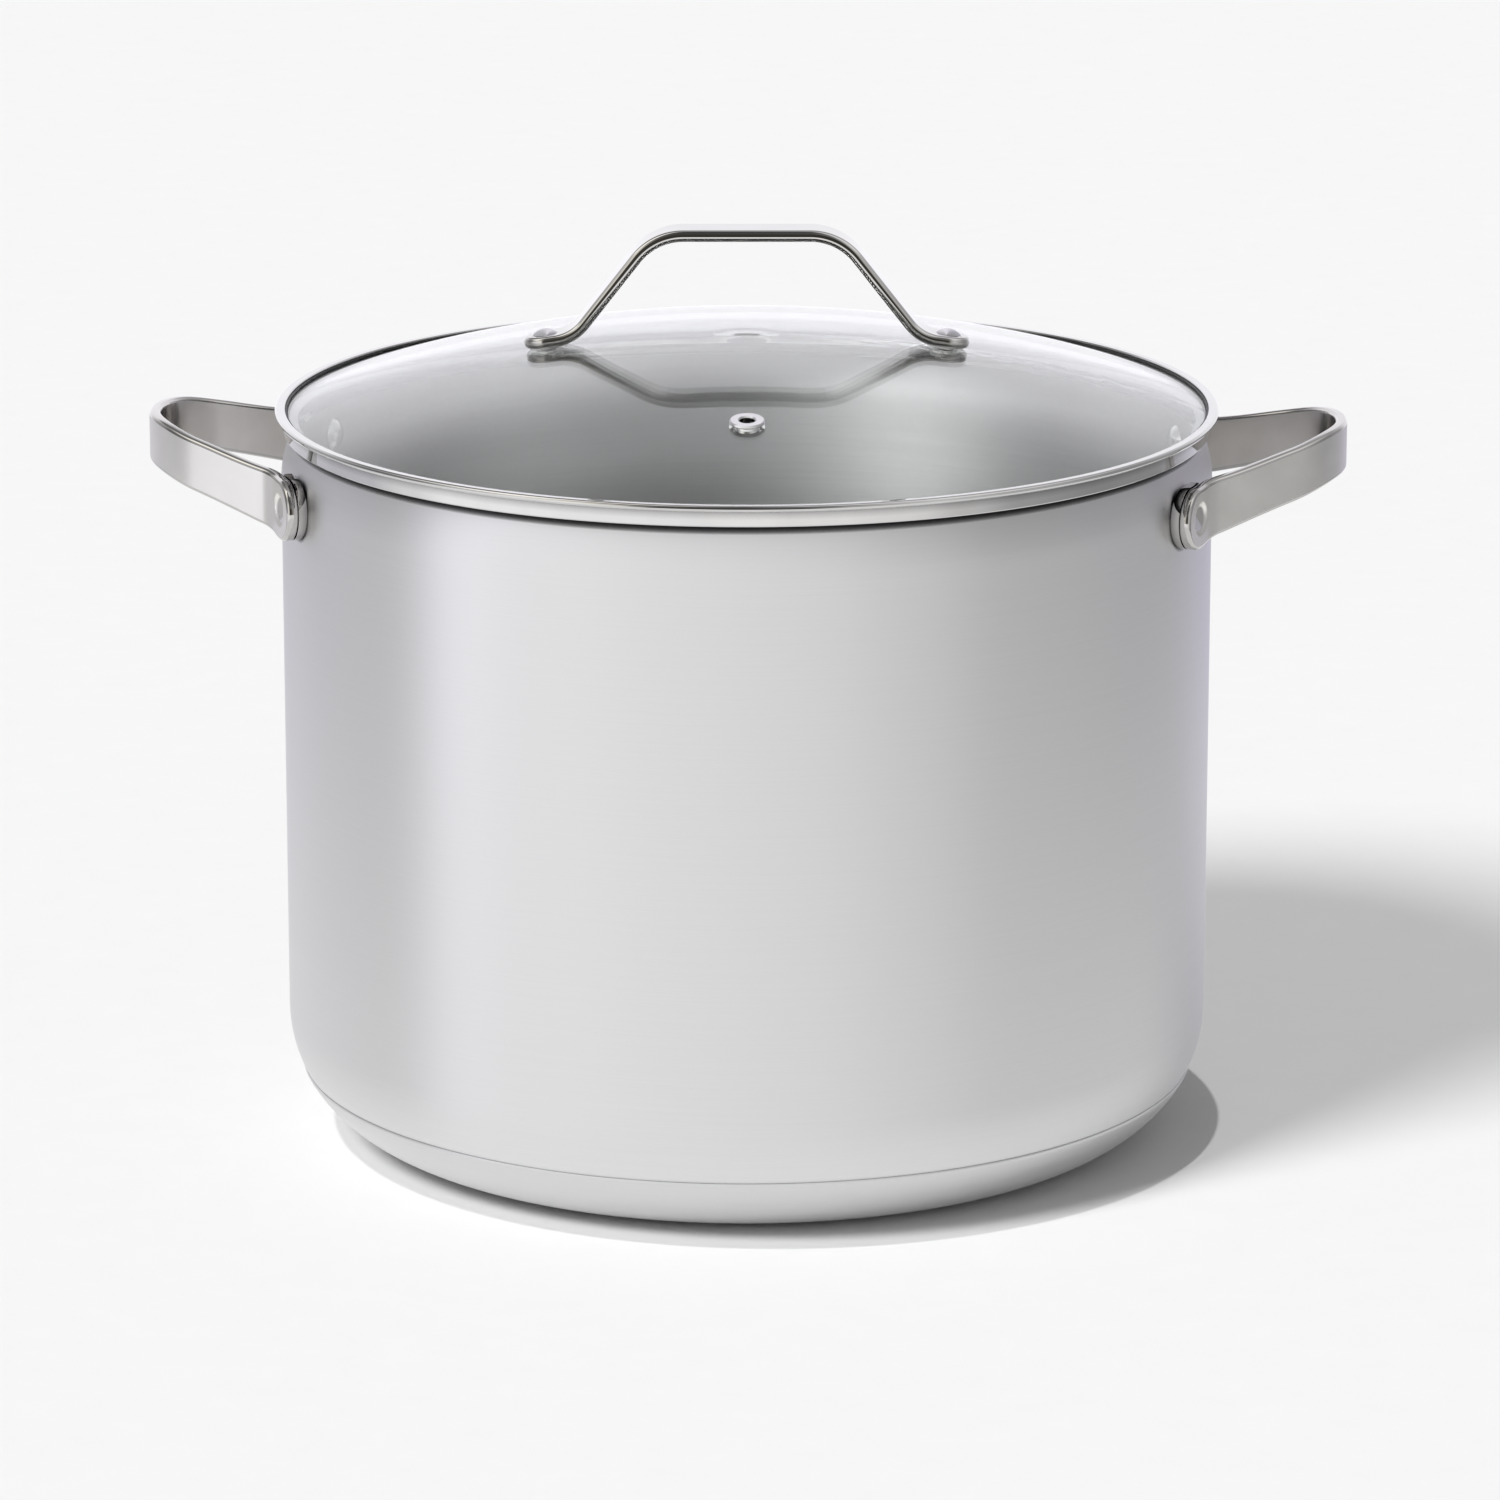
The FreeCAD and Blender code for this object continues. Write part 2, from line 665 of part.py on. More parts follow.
def make_lid_handle():
    """Arched flat strap: level top, leaning legs and two tongues that lie along the glass."""
    thick, wide = dim("lid_strap_thick"), dim("lid_strap_wide")
    lean = dim("foot_reach") / dome_radius
    lean_cos = root(Size.of(1) - lean * lean)
    stand = dome_radius + dim("seat_gap") * 2 + dim("gasket_tall") + thick / 2
    foot_x, foot_z = stand * lean, dome_centre + stand * lean_cos
    slope = lean / lean_cos
    steep = cosine(dim("arch_lean")) / sine(dim("arch_lean"))
    drop = dim("arch_top") - foot_z
    knee_x = (dim("arch_half") * steep - foot_x * slope + drop) / (steep - slope)
    knee_z = dim("arch_top") - (knee_x - dim("arch_half")) * steep
    end = foot_x + wide / 2 + 2
    body = new_body("lid_handle_arch")
    path = new_sketch(body, "lid_handle_path", "XZ_Plane")
    draw_bent_path(path, [
        (ZERO, dim("arch_top")),
        (dim("arch_half"), dim("arch_top")),
        (knee_x, knee_z),
        (end, foot_z - (end - foot_x) * slope),
    ], [dim("arch_top_bend"), dim("arch_foot_bend")])
    section = new_sketch(body, "lid_handle_section", "YZ_Plane")
    half, side = thick / 2, wide / 2
    round_off = Size.of(1.3)
    top, low = dim("arch_top") + half, dim("arch_top") - half
    draw_outline(section, [
        (round_off - side, low),
        (side - round_off, low),
        (side, low + round_off),
        (side, top - round_off),
        (side - round_off, top),
        (round_off - side, top),
        (-side, top - round_off),
        (-side, low + round_off),
    ], {index: (round_off, True) for index in (1, 3, 5, 7)})
    pipe = body.newObject("PartDesign::AdditivePipe", "lid_handle_pipe")
    pipe.Profile = section
    pipe.Spine = (path, [])
    body.Tip = pipe
    doc.recompute()
    mirror = body.newObject("PartDesign::Mirrored", "lid_handle_mirrored")
    mirror.Originals = [pipe]
    plane = [item for item in body.Origin.OriginFeatures if item.Role == "YZ_Plane"][0]
    mirror.MirrorPlane = (plane, [""])
    body.Tip = mirror
    tips = pad("lid_handle_plan", "XY_Plane", dim("arch_top") * 2, [
        (-foot_x, -side),
        (foot_x, -side),
        (foot_x + side, ZERO),
        (foot_x, side),
        (-foot_x, side),
        (-foot_x - side, ZERO),
    ], {index: (side, True) for index in (1, 2, 4, 5)})
    holes = []
    for side_name, azimuth in LID_SIDES.items():
        turned_back = turn(-dim("lid_turn").value)
        holes.append(cylinder(f"lid_handle_hole_{side_name}", dim("screw_shank") + gap * 2,
                              thick * 4, turned_back.multiply(on_dome(dim("foot_reach"), azimuth))))
    strap = boolean("Common", "lid_handle_strap", body, tips)
    handle = boolean("Cut", "lid_handle", strap, fuse_all("lid_handle_holes", holes))
    handle.Placement = turn(dim("lid_turn").value)
    return handle


def make_lid_fixings(side, azimuth):
    """What holds one foot of the lid handle: soft washers on both faces of the glass, a steel
    washer below and a domed rivet through them all."""
    seat = dim("seat_gap")
    shank, head = dim("screw_shank"), dim("screw_head")
    soft, steel = dim("gasket_tall"), dim("lid_washer_tall")
    foot_top = seat * 2 + soft + dim("lid_strap_thick")
    soft_low = dim("glass_thick") + seat + soft
    steel_low = soft_low + seat + steel
    dome = dim("screw_dome")
    crown = (head * head + dome * dome) / (dome * 2)

    def washer(label, outer, low, high):
        return revolve(label, [(shank + gap * 2, low), (outer, low), (outer, high),
                               (shank + gap * 2, high)])

    rivet = revolve(f"lid_rivet_{side}", [
        (ZERO, -(steel_low + seat + dome)),
        (head, -(steel_low + seat)),
        (shank, -(steel_low + seat)),
        (shank, foot_top + seat),
        (head, foot_top + seat),
        (ZERO, foot_top + seat + dome),
    ], {0: (crown, True), 4: (crown, True)})
    pieces = [
        rivet,
        washer(f"foot_gasket_{side}", dim("gasket_radius"), seat, seat + soft),
        washer(f"under_gasket_{side}", dim("gasket_radius"), -soft_low, -(dim("glass_thick") + seat)),
        washer(f"rivet_washer_{side}", dim("gasket_radius") - 0.5, -steel_low, -(soft_low + seat)),
    ]
    for piece in pieces:
        piece.Placement = on_dome(dim("foot_reach"), azimuth)
    return pieces


# The jar rack, built at its place on the floor of the pot

ring_wire, spoke_wire = dim("ring_wire"), dim("spoke_wire")
rack_floor = floor_top + gap
ring_up = rack_floor + dim("foot_tall") + gap + ring_wire
spoke_up = ring_up - ring_wire - gap - spoke_wire
hinge_up = ring_up + ring_wire + gap + dim("eye_radius")
SPOKES = 12
FEET = 4


def make_rack_ring(name):
    ring = doc.addObject("Part::Torus", f"rack_{name}")
    ring.Label = f"rack_{name}"
    ring.setExpression("Radius1", dim(name).text)
    ring.setExpression("Radius2", ring_wire.text)
    ring.Placement = Placement(Vector(0, 0, ring_up.value), Rotation())
    return ring


def make_rack_spokes():
    """Straight wires welded under the rings."""
    start = dim("inner_ring") - 6
    members = []
    for count in range(SPOKES):
        azimuth = 360 / SPOKES * (count + 0.5)
        across = Rotation(Vector(0, 0, 1), azimuth).multiply(Rotation(Vector(0, 1, 0), 90))
        at = across.multVec(Vector(0, 0, start.value)) + Vector(0, 0, spoke_up.value)
        members.append(cylinder(f"rack_spoke_{count}", spoke_wire, dim("outer_ring") - start,
                                Placement(at, across)))
    return group("rack_spokes", members)


def make_rack_feet():
    """Short posts under the outer ring that hold the rack clear of the pot's floor."""
    members = []
    for count in range(FEET):
        azimuth = 360 / FEET * (count + 0.5) + 360 / SPOKES / 2
        at = Rotation(Vector(0, 0, 1), azimuth).multVec(Vector(dim("outer_ring").value, 0, 0))
        at.z = rack_floor.value
        members.append(cylinder(f"rack_foot_{count}", dim("foot_wire"), dim("foot_tall"),
                                Placement(at, Rotation())))
    return group("rack_feet", members)


def make_rack_eyes(side):
    """The two short tubes on the outer ring in which one bail turns."""
    members = []
    across = -1 if side == "left" else 1
    for end in (-1, 1):
        outer = pad(f"rack_eye_{side}_{end + 1}", "XZ_Plane", dim("eye_long"),
                    circle=(ZERO, ZERO, dim("eye_radius")), midplane=True)
        hole = outer.newObject("PartDesign::Pocket", f"rack_eye_bore_{side}_{end + 1}")
        sketch = new_sketch(outer, f"rack_eye_bore_outline_{side}_{end + 1}", "XZ_Plane")
        draw_circle(sketch, ZERO, ZERO, dim("bail_wire") + dim("running_gap"))
        hole.Profile = sketch
        hole.Type = "ThroughAll"
        hole.Midplane = True
        outer.Tip = hole
        outer.Placement = Placement(Vector(dim("bail_hinge").value * across,
                                           dim("eye_reach").value * end, hinge_up.value), Rotation())
        members.append(outer)
    return group(f"rack_eyes_{side}", members)


def make_rack_bail(side):
    """A wire carrying handle, folded flat over the rack, its ends turned out into the eyes."""
    label = f"rack_handle_{side}"
    wire = dim("bail_wire")
    hinge, end, half = dim("bail_hinge"), dim("bail_end"), dim("bail_half")
    tip = dim("eye_reach") + dim("eye_long") / 2 + 2
    body = new_body(label)
    path = new_sketch(body, f"{label}_path", "XY_Plane")
    draw_bent_path(path, [(end, ZERO), (end, half), (hinge, half), (hinge, tip)],
                   [dim("bail_bend"), dim("bail_elbow")])
    section = new_sketch(body, f"{label}_section", "XZ_Plane")
    draw_circle(section, end, ZERO, wire)
    pipe = body.newObject("PartDesign::AdditivePipe", f"{label}_pipe")
    pipe.Profile = section
    pipe.Spine = (path, [])
    body.Tip = pipe
    doc.recompute()
    mirror = body.newObject("PartDesign::Mirrored", f"{label}_mirrored")
    mirror.Originals = [pipe]
    plane = [item for item in body.Origin.OriginFeatures if item.Role == "XZ_Plane"][0]
    mirror.MirrorPlane = (plane, [""])
    body.Tip = mirror
    turned = Rotation(Vector(0, 0, 1), 0 if side == "right" else 180)
    body.Placement = Placement(Vector(0, 0, hinge_up.value), turned)
    return body


# Build everything

nodes = [make_pot_shell()]
nodes += make_base()
for handle_side in ("right", "left"):
    nodes.append(make_side_handle(handle_side))
    for handle_end, rivet_azimuth in rivet_azimuths(handle_side).items():
        nodes.append(make_handle_plate(handle_side, handle_end, rivet_azimuth))
        nodes.append(make_handle_rivet(handle_side, handle_end, rivet_azimuth))
nodes += [make_lid_glass(), make_lid_rim(), make_lid_seal()]
nodes += make_vent()
nodes.append(make_lid_handle())
for lid_side, foot_azimuth in LID_SIDES.items():
    nodes += make_lid_fixings(lid_side, foot_azimuth)
nodes += [make_rack_ring(name) for name in ("outer_ring", "middle_ring", "inner_ring")]
nodes += [make_rack_spokes(), make_rack_feet()]
for rack_side in ("right", "left"):
    nodes += [make_rack_eyes(rack_side), make_rack_bail(rack_side)]
doc.recompute()

# Check every object before anything is written

for item in doc.Objects:
    if "Invalid" in item.State or "Error" in item.State:
        raise RuntimeError(f"{item.Name} did not compute: {item.State}")
for node in nodes:
    if node.Shape.isNull() or not node.Shape.isValid():
        raise RuntimeError(f"{node.Label} has no valid shape")
    if node.Shape.Volume <= 0:
        raise RuntimeError(f"{node.Label} has no volume")

for node in nodes:
    node.Shape.exportStep(f"parts/{node.Label}.step")
    box = node.Shape.BoundBox
    print(f"{node.Label:28s} solids {len(node.Shape.Solids):2d} volume {node.Shape.Volume:11.1f} "
          f"z {box.ZMin:7.2f} to {box.ZMax:7.2f}")
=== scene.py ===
"""Looks for the water bath canner: materials, finely finished pieces, studio and camera."""

import math

import bpy
from mathutils import Matrix, Vector


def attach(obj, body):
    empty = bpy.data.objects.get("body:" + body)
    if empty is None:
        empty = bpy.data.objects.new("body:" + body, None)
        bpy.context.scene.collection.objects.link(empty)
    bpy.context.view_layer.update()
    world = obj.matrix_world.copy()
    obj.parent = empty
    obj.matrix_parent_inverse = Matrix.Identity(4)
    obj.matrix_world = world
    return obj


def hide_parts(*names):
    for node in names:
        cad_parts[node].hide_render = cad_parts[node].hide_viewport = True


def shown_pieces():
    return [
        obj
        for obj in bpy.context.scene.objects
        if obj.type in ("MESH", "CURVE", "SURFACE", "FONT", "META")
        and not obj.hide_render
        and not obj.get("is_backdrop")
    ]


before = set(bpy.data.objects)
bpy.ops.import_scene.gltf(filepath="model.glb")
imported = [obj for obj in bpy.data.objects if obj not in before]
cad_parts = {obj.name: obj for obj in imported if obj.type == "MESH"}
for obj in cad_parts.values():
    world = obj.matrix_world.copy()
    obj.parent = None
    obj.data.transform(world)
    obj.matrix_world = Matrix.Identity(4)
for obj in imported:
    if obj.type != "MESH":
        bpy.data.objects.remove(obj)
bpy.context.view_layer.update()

MM = 0.001


# ---------------------------------------------------------------- materials

NOISE_LOW, NOISE_HIGH = 0.3, 0.7
# Rays and colour of the painted shade near other surfaces, and its strength on polished metal.
CREVICE_RAYS = 8
PAINTED_SHADE_COLOUR = (0.03, 0.028, 0.03)
POLISH_LOSS = 1.6

# Noise scales per metre. The long lines of brushing run round Z, so only height is fine.
BRUSH_COARSE, BRUSH_FINE = (5, 5, 520), (22, 22, 2400)


def new_material(name):
    material = bpy.data.materials.new(name)
    material.use_nodes = True
    tree = material.node_tree
    shader = tree.nodes["Principled BSDF"]
    return material, tree, shader


def link(tree, source, target):
    tree.links.new(source, target)


def math_node(tree, operation, first, second=None, third=None):
    node = tree.nodes.new("ShaderNodeMath")
    node.operation = operation
    for socket, value in zip(node.inputs, (first, second, third)):
        if value is None:
            continue
        if isinstance(value, (int, float)):
            socket.default_value = value
        else:
            link(tree, value, socket)
    return node.outputs[0]


def noise(tree, scales, detail=2.0, roughness=0.5, distortion=0.0):
    """Noise of size 1 stretched by scales (per metre) in object space."""
    mapping = tree.nodes.new("ShaderNodeMapping")
    mapping.inputs["Scale"].default_value = scales
    link(tree, tree.nodes.new("ShaderNodeTexCoord").outputs["Object"], mapping.inputs["Vector"])
    texture = tree.nodes.new("ShaderNodeTexNoise")
    texture.inputs["Scale"].default_value = 1.0
    texture.inputs["Detail"].default_value = detail
    texture.inputs["Roughness"].default_value = roughness
    texture.inputs["Distortion"].default_value = distortion
    link(tree, mapping.outputs["Vector"], texture.inputs["Vector"])
    return texture.outputs["Fac"]


def spread(tree, value, low, high):
    """Maps noise, which stays near 0.5, to a range."""
    node = tree.nodes.new("ShaderNodeMapRange")
    node.inputs["From Min"].default_value = NOISE_LOW
    node.inputs["From Max"].default_value = NOISE_HIGH
    node.inputs["To Min"].default_value = low
    node.inputs["To Max"].default_value = high
    link(tree, value, node.inputs["Value"])
    return node.outputs["Result"]


def colour_mix(tree, factor, first, second):
    node = tree.nodes.new("ShaderNodeMix")
    node.data_type = "RGBA"
    node.inputs["A"].default_value = (*first, 1)
    node.inputs["B"].default_value = (*second, 1)
    link(tree, factor, node.inputs["Factor"])
    return node.outputs["Result"]


def bump(tree, height, strength, distance):
    node = tree.nodes.new("ShaderNodeBump")
    node.inputs["Strength"].default_value = strength
    node.inputs["Distance"].default_value = distance
    link(tree, height, node.inputs["Height"])
    return node.outputs["Normal"]


def painted_crevice_shade(tree, colour, reach, loss):
    """The colour, darker where another surface is within reach: a painted shade."""
    shade = tree.nodes.new("ShaderNodeAmbientOcclusion")
    shade.samples = CREVICE_RAYS
    shade.inputs["Distance"].default_value = reach
    strong = math_node(tree, "POWER", shade.outputs["AO"], loss)
    mix = tree.nodes.new("ShaderNodeMix")
    mix.data_type = "RGBA"
    mix.inputs["A"].default_value = (*PAINTED_SHADE_COLOUR, 1)
    link(tree, strong, mix.inputs["Factor"])
    link(tree, colour, mix.inputs["B"])
    return mix.outputs["Result"]


def brushed_metal(name, dark, light, rough, grain, anisotropy, depth, reach=0.0, loss=2.5):
    """Metal with fine lines that run round the Z axis.

    rough and grain are the roughness and its spread, depth is the height of the lines, and within
    reach of another surface the colour darkens by the power loss. Lengths are in metres."""
    material, tree, shader = new_material(name)
    coarse = noise(tree, BRUSH_COARSE, detail=2)
    fine = noise(tree, BRUSH_FINE, detail=4, roughness=0.75)
    lines = math_node(tree, "ADD", math_node(tree, "MULTIPLY", coarse, 0.3),
                      math_node(tree, "MULTIPLY", fine, 0.7))
    colour = colour_mix(tree, spread(tree, lines, 0, 1), dark, light)
    # Painted shade: the colour darkens within reach of another surface.
    if reach:
        colour = painted_crevice_shade(tree, colour, reach, loss)
    link(tree, colour, shader.inputs["Base Color"])
    link(tree, spread(tree, lines, rough - grain, rough + grain), shader.inputs["Roughness"])
    link(tree, bump(tree, lines, 0.5, depth), shader.inputs["Normal"])
    tangent = tree.nodes.new("ShaderNodeTangent")
    tangent.direction_type = "RADIAL"
    tangent.axis = "Z"
    link(tree, tangent.outputs["Tangent"], shader.inputs["Tangent"])
    shader.inputs["Metallic"].default_value = 1
    shader.inputs["Anisotropic"].default_value = anisotropy
    shader.inputs["Anisotropic Rotation"].default_value = 0.25
    return material


def polished_metal(name, dark, light, rough, grain, scale=180.0, reach=0.0):
    """Buffed metal with faint smears and hairlines. With rough 0 it is an exact mirror, which sees
    the sharp rings of the studio walls."""
    material, tree, shader = new_material(name)
    smears = noise(tree, (scale * 0.25,) * 3, detail=3, distortion=0.4)
    hairs = noise(tree, (scale * 0.6, scale * 8, scale * 8), detail=2)
    both = math_node(tree, "ADD", math_node(tree, "MULTIPLY", smears, 0.5),
                     math_node(tree, "MULTIPLY", hairs, 0.5))
    colour = colour_mix(tree, spread(tree, smears, 0, 1), dark, light)
    # Painted shade: the colour darkens within reach of another surface.
    if reach:
        colour = painted_crevice_shade(tree, colour, reach, POLISH_LOSS)
    link(tree, colour, shader.inputs["Base Color"])
    if rough:
        link(tree, spread(tree, both, rough - grain, rough + grain), shader.inputs["Roughness"])
    else:
        shader.inputs["Roughness"].default_value = 0
    link(tree, bump(tree, both, 0.15, 0.00001), shader.inputs["Normal"])
    shader.inputs["Metallic"].default_value = 1
    return material


def clear_glass(name):
    """Clear tempered glass that lets lamp light through, with faint dust and wipe marks."""
    material, tree, shader = new_material(name)
    shader.inputs["Base Color"].default_value = (0.97, 0.985, 0.98, 1)
    shader.inputs["Transmission Weight"].default_value = 1
    shader.inputs["IOR"].default_value = 1.5
    shader.inputs["Roughness"].default_value = 0
    wipes = noise(tree, (24, 24, 24), detail=1, distortion=0.3)
    link(tree, bump(tree, wipes, 0.05, 0.00001), shader.inputs["Normal"])
    clear = tree.nodes.new("ShaderNodeBsdfTransparent")
    clear.inputs["Color"].default_value = (0.95, 0.965, 0.96, 1)
    path = tree.nodes.new("ShaderNodeLightPath")
    mix = tree.nodes.new("ShaderNodeMixShader")
    link(tree, path.outputs["Is Shadow Ray"], mix.inputs["Fac"])
    link(tree, shader.outputs["BSDF"], mix.inputs[1])
    link(tree, clear.outputs["BSDF"], mix.inputs[2])
    link(tree, mix.outputs["Shader"], tree.nodes["Material Output"].inputs["Surface"])
    return material


def silicone(name, dark, light, rough, clear=0.0):
    """Soft seal or washer, faintly mottled. clear is how much light goes through."""
    material, tree, shader = new_material(name)
    shader.inputs["Transmission Weight"].default_value = clear
    shader.inputs["IOR"].default_value = 1.41
    mottle = noise(tree, (400, 400, 400), detail=3)
    link(tree, colour_mix(tree, spread(tree, mottle, 0, 1), dark, light), shader.inputs["Base Color"])
    link(tree, spread(tree, mottle, rough - 0.06, rough + 0.06), shader.inputs["Roughness"])
    link(tree, bump(tree, mottle, 0.2, 0.00005), shader.inputs["Normal"])
    return material


BODY_TONES = ((0.80, 0.80, 0.80), (0.835, 0.835, 0.835))
# Outer steel; within 1.2 mm of another surface its colour takes a painted shade.
BODY_STEEL = brushed_metal("body_steel", *BODY_TONES, rough=0.46, grain=0.03, anisotropy=0.85,
                           depth=0.000006, reach=0.0012)
# The shoulder under the rim: the same steel, with the lid's narrow shade painted into its colour.
LIP_STEEL_PAINTED_SHADE = brushed_metal("lip_steel_painted_shade", *BODY_TONES, rough=0.46, grain=0.03, anisotropy=0.85,
                          depth=0.000006, reach=0.0028, loss=6.0)
# The pot's inside: the same sheet as the outside, painted darker to stand in for the shade inside the
# pot.
INSIDE_STEEL = brushed_metal("inside_steel", (0.48, 0.48, 0.475), (0.56, 0.56, 0.555), rough=0.36,
                             grain=0.05, anisotropy=0.8, depth=0.00001)
# The base's cap: darker than the body's steel, partly its own tone and partly painted shade low on the
# pot.
CAP_STEEL = brushed_metal("cap_steel", (0.70, 0.70, 0.70), (0.735, 0.735, 0.735), rough=0.40,
                          grain=0.03, anisotropy=0.8, depth=0.000006)
ALUMINIUM = brushed_metal("core_aluminium", (0.66, 0.67, 0.68), (0.74, 0.75, 0.76), rough=0.36,
                          grain=0.06, anisotropy=0.4, depth=0.00001)
# Polished rim steel; within 3 mm of another surface its colour takes a painted shade.
RIM_STEEL = polished_metal("rim_steel", (0.61, 0.605, 0.60), (0.65, 0.645, 0.64), rough=0.0,
                           grain=0.0, scale=260, reach=0.003)
# Side handles: the outer face is satin, the inner face buffed, and the edges are mirrors.
SATIN_STEEL = polished_metal("satin_steel", (0.83, 0.82, 0.78), (0.88, 0.87, 0.83), rough=0.34,
                             grain=0.04, scale=260)
# The buffed and edge steels take a painted shade within 3 mm of another surface.
BUFFED_STEEL = polished_metal("buffed_steel", (0.68, 0.655, 0.63), (0.74, 0.715, 0.69), rough=0.15,
                              grain=0.04, scale=260, reach=0.003)
EDGE_STEEL = polished_metal("edge_steel", (0.53, 0.517, 0.504), (0.57, 0.557, 0.544), rough=0.0,
                            grain=0.0, scale=260, reach=0.003)
ARCH_STEEL = polished_metal("arch_steel", (0.56, 0.55, 0.54), (0.61, 0.60, 0.59), rough=0.0,
                            grain=0.0, scale=260)
FITTING_STEEL = polished_metal("fitting_steel", (0.72, 0.71, 0.70), (0.78, 0.77, 0.76), rough=0.10,
                               grain=0.03, scale=400)
WIRE = polished_metal("rack_plating", (0.62, 0.62, 0.62), (0.72, 0.72, 0.72), rough=0.20,
                      grain=0.06, scale=300)
GLASS = clear_glass("lid_glass_clear")
SEAL = silicone("dark_silicone", (0.010, 0.010, 0.010), (0.022, 0.022, 0.022), rough=0.4)
GASKET = silicone("clear_silicone", (0.80, 0.80, 0.79), (0.88, 0.88, 0.87), rough=0.22, clear=0.85)

# The first prefix that a node's name starts with gives its material.
FINISHES = (
    ("pot_shell", BODY_STEEL), ("base_core", ALUMINIUM), ("base_cap", CAP_STEEL),
    ("side_handle", SATIN_STEEL), ("handle_plate", EDGE_STEEL), ("handle_rivet", FITTING_STEEL),
    ("lid_glass", GLASS), ("lid_rim", RIM_STEEL), ("lid_seal", SEAL), ("vent", FITTING_STEEL),
    ("lid_handle", ARCH_STEEL), ("lid_rivet", FITTING_STEEL), ("foot_gasket", GASKET),
    ("under_gasket", GASKET), ("rivet_washer", FITTING_STEEL), ("rack", WIRE),
)


def dress(node, material):
    for slot in node.material_slots:
        slot.link = "OBJECT"
        slot.material = material


for node_name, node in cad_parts.items():
    for prefix, finish in FINISHES:
        if node_name.startswith(prefix):
            dress(node, finish)
            break


# ---------------------------------------------------------------- pieces

# Millimetres and degrees, the same as the CAD part's.
WALL, SHEET, CORNER, CORE_ANGLE = 148.0, 0.9, 40.0, 60.0
SHOULDER_START, SHOULDER, SHOULDER_ANGLE = 213.8, 30.0, 31.0
CAP, CAP_ANGLE, GAP, PLATE = 0.5, 27.0, 0.05, 2.5
CORNER_AT, CORNER_UP = WALL - CORNER, CORNER + CAP + GAP
SHOULDER_AT = WALL - SHOULDER
CORE_SIN = math.sin(math.radians(CORE_ANGLE))
BAND, BAND_BOTTOM, RIM_SHEET, SKIRT, SKIRT_BOTTOM = 147.3, 229.6, 0.8, 142.3, 224.6
BEAD, BEAD_TOP, BEAD_TALL = 149.8, 236.6, 2.0
HANDLE_AZIMUTH, HANDLE_HEIGHT, STRAP, TONGUE = 21.3, 212.6, 3.8, 9.7
PAD_BEND, PAD_BEND_RADIUS = 9.7, 13.0
GRIP_REACH, GRIP_HALF, GRIP_BEND_RADIUS, GRIP_HEIGHT, GRIP_TALL = 188.5, 20.0, 34.0, 225.5, 15.8
LID_TURN, LID_STRAP_THICK, LID_STRAP_WIDE = 2.6, 3.7, 14.0
ARCH_TOP, ARCH_HALF, ARCH_TOP_BEND, ARCH_FOOT_BEND = 291.2, 29.3, 19.0, 14.0
ARCH_LEAN, GASKET_TALL, SEAT_GAP, SCREW_REACH = 38.0, 0.6, 0.05, 63.3
GLASS_RADIUS, GLASS_EDGE, GLASS_APEX = 145.85, 235.3, 258.8

# Finer shape that only the pieces here have.
# The shoulder above this angle carries the lid's painted shade.
LIP_SHADE_ANGLE = 21.0  # on the shoulder's arc, where LIP_STEEL_PAINTED_SHADE takes over
WALL_ROWS, FLOOR_ROW, BEND_MARGIN = (90, 150), 122, 1  # rows that keep flat stretches shaded flat
UNDERSIDE_ROWS = (60, 100)
# The dressed edge of the base's cap: degrees before its end, and the share of the sheet left.
CAP_EDGE_START = 1.6
CAP_EDGE = ((1.2, 0.97), (0.9, 0.88), (0.6, 0.7), (0.35, 0.45), (0.15, 0.2), (0.0, 0.0))
# The dish round a rivet in a strap: deepest inside DISH_INNER, gone at DISH_OUTER.
DISH_INNER, DISH_OUTER, DISH_DEEP, DISH_STEP, DISH_STEPS = 4.2, 5.3, 0.85, 0.5, 14
# Rows of points along a strap: apart on the straight, degrees apart in a bend, and at least.
STRAP_STEP, STRAP_TURN, LEAST_STEP = 2.5, 2.5, 0.06
GRIP_ROUND, GRIP_COLUMNS, ARCH_ROUND, ARCH_COLUMNS = 1.25, 34, 1.3, 16
ARCH_TONGUE = LID_STRAP_WIDE / 2 * 1.01
# Side view of a grip's leg: distance from the middle of the grip, height of the strap's middle,
# and half of its height there. The outermost knot is past the end of the strap.
GRIP_SIDE_VIEW = (
    (12.0, 225.4, 7.95), (17.0, 225.0, 8.1), (23.0, 224.0, 8.2), (28.0, 222.2, 8.4), (33.5, 219.5, 8.4),
    (39.0, 216.9, 8.6), (44.5, 214.3, 9.0), (48.5, 212.8, 9.6),
)
PAST_THE_END = 99
SIDE_VIEW_BLEND = (-5, -2.5, 0, 2.5, 5)  # the side view is averaged over these, to round its knots


def add_piece(name, verts, faces, materials, face_materials, body, slot, *nodes):
    """A finished mesh in millimetres that rides on a body and stands for CAD nodes."""
    mesh = bpy.data.meshes.new(name)
    mesh.from_pydata([[value * MM for value in vert] for vert in verts], [], faces)
    for material in materials:
        mesh.materials.append(material)
    mesh.polygons.foreach_set("material_index", face_materials)
    mesh.polygons.foreach_set("use_smooth", [True] * len(faces))
    mesh.validate()
    mesh.update()
    piece = bpy.data.objects.new(name, mesh)
    bpy.context.scene.collection.objects.link(piece)
    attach(piece, body)
    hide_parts(*nodes)
    return piece


def arc(centre, radius, start, stop, step=3.0):
    """Points of an arc in the (reach, height) half plane, angles in degrees from the outward side."""
    count = max(2, math.ceil(abs(stop - start) / step))
    return [(centre[0] + radius * math.cos(math.radians(start + (stop - start) * i / count)),
             centre[1] + radius * math.sin(math.radians(start + (stop - start) * i / count)))
            for i in range(count + 1)]


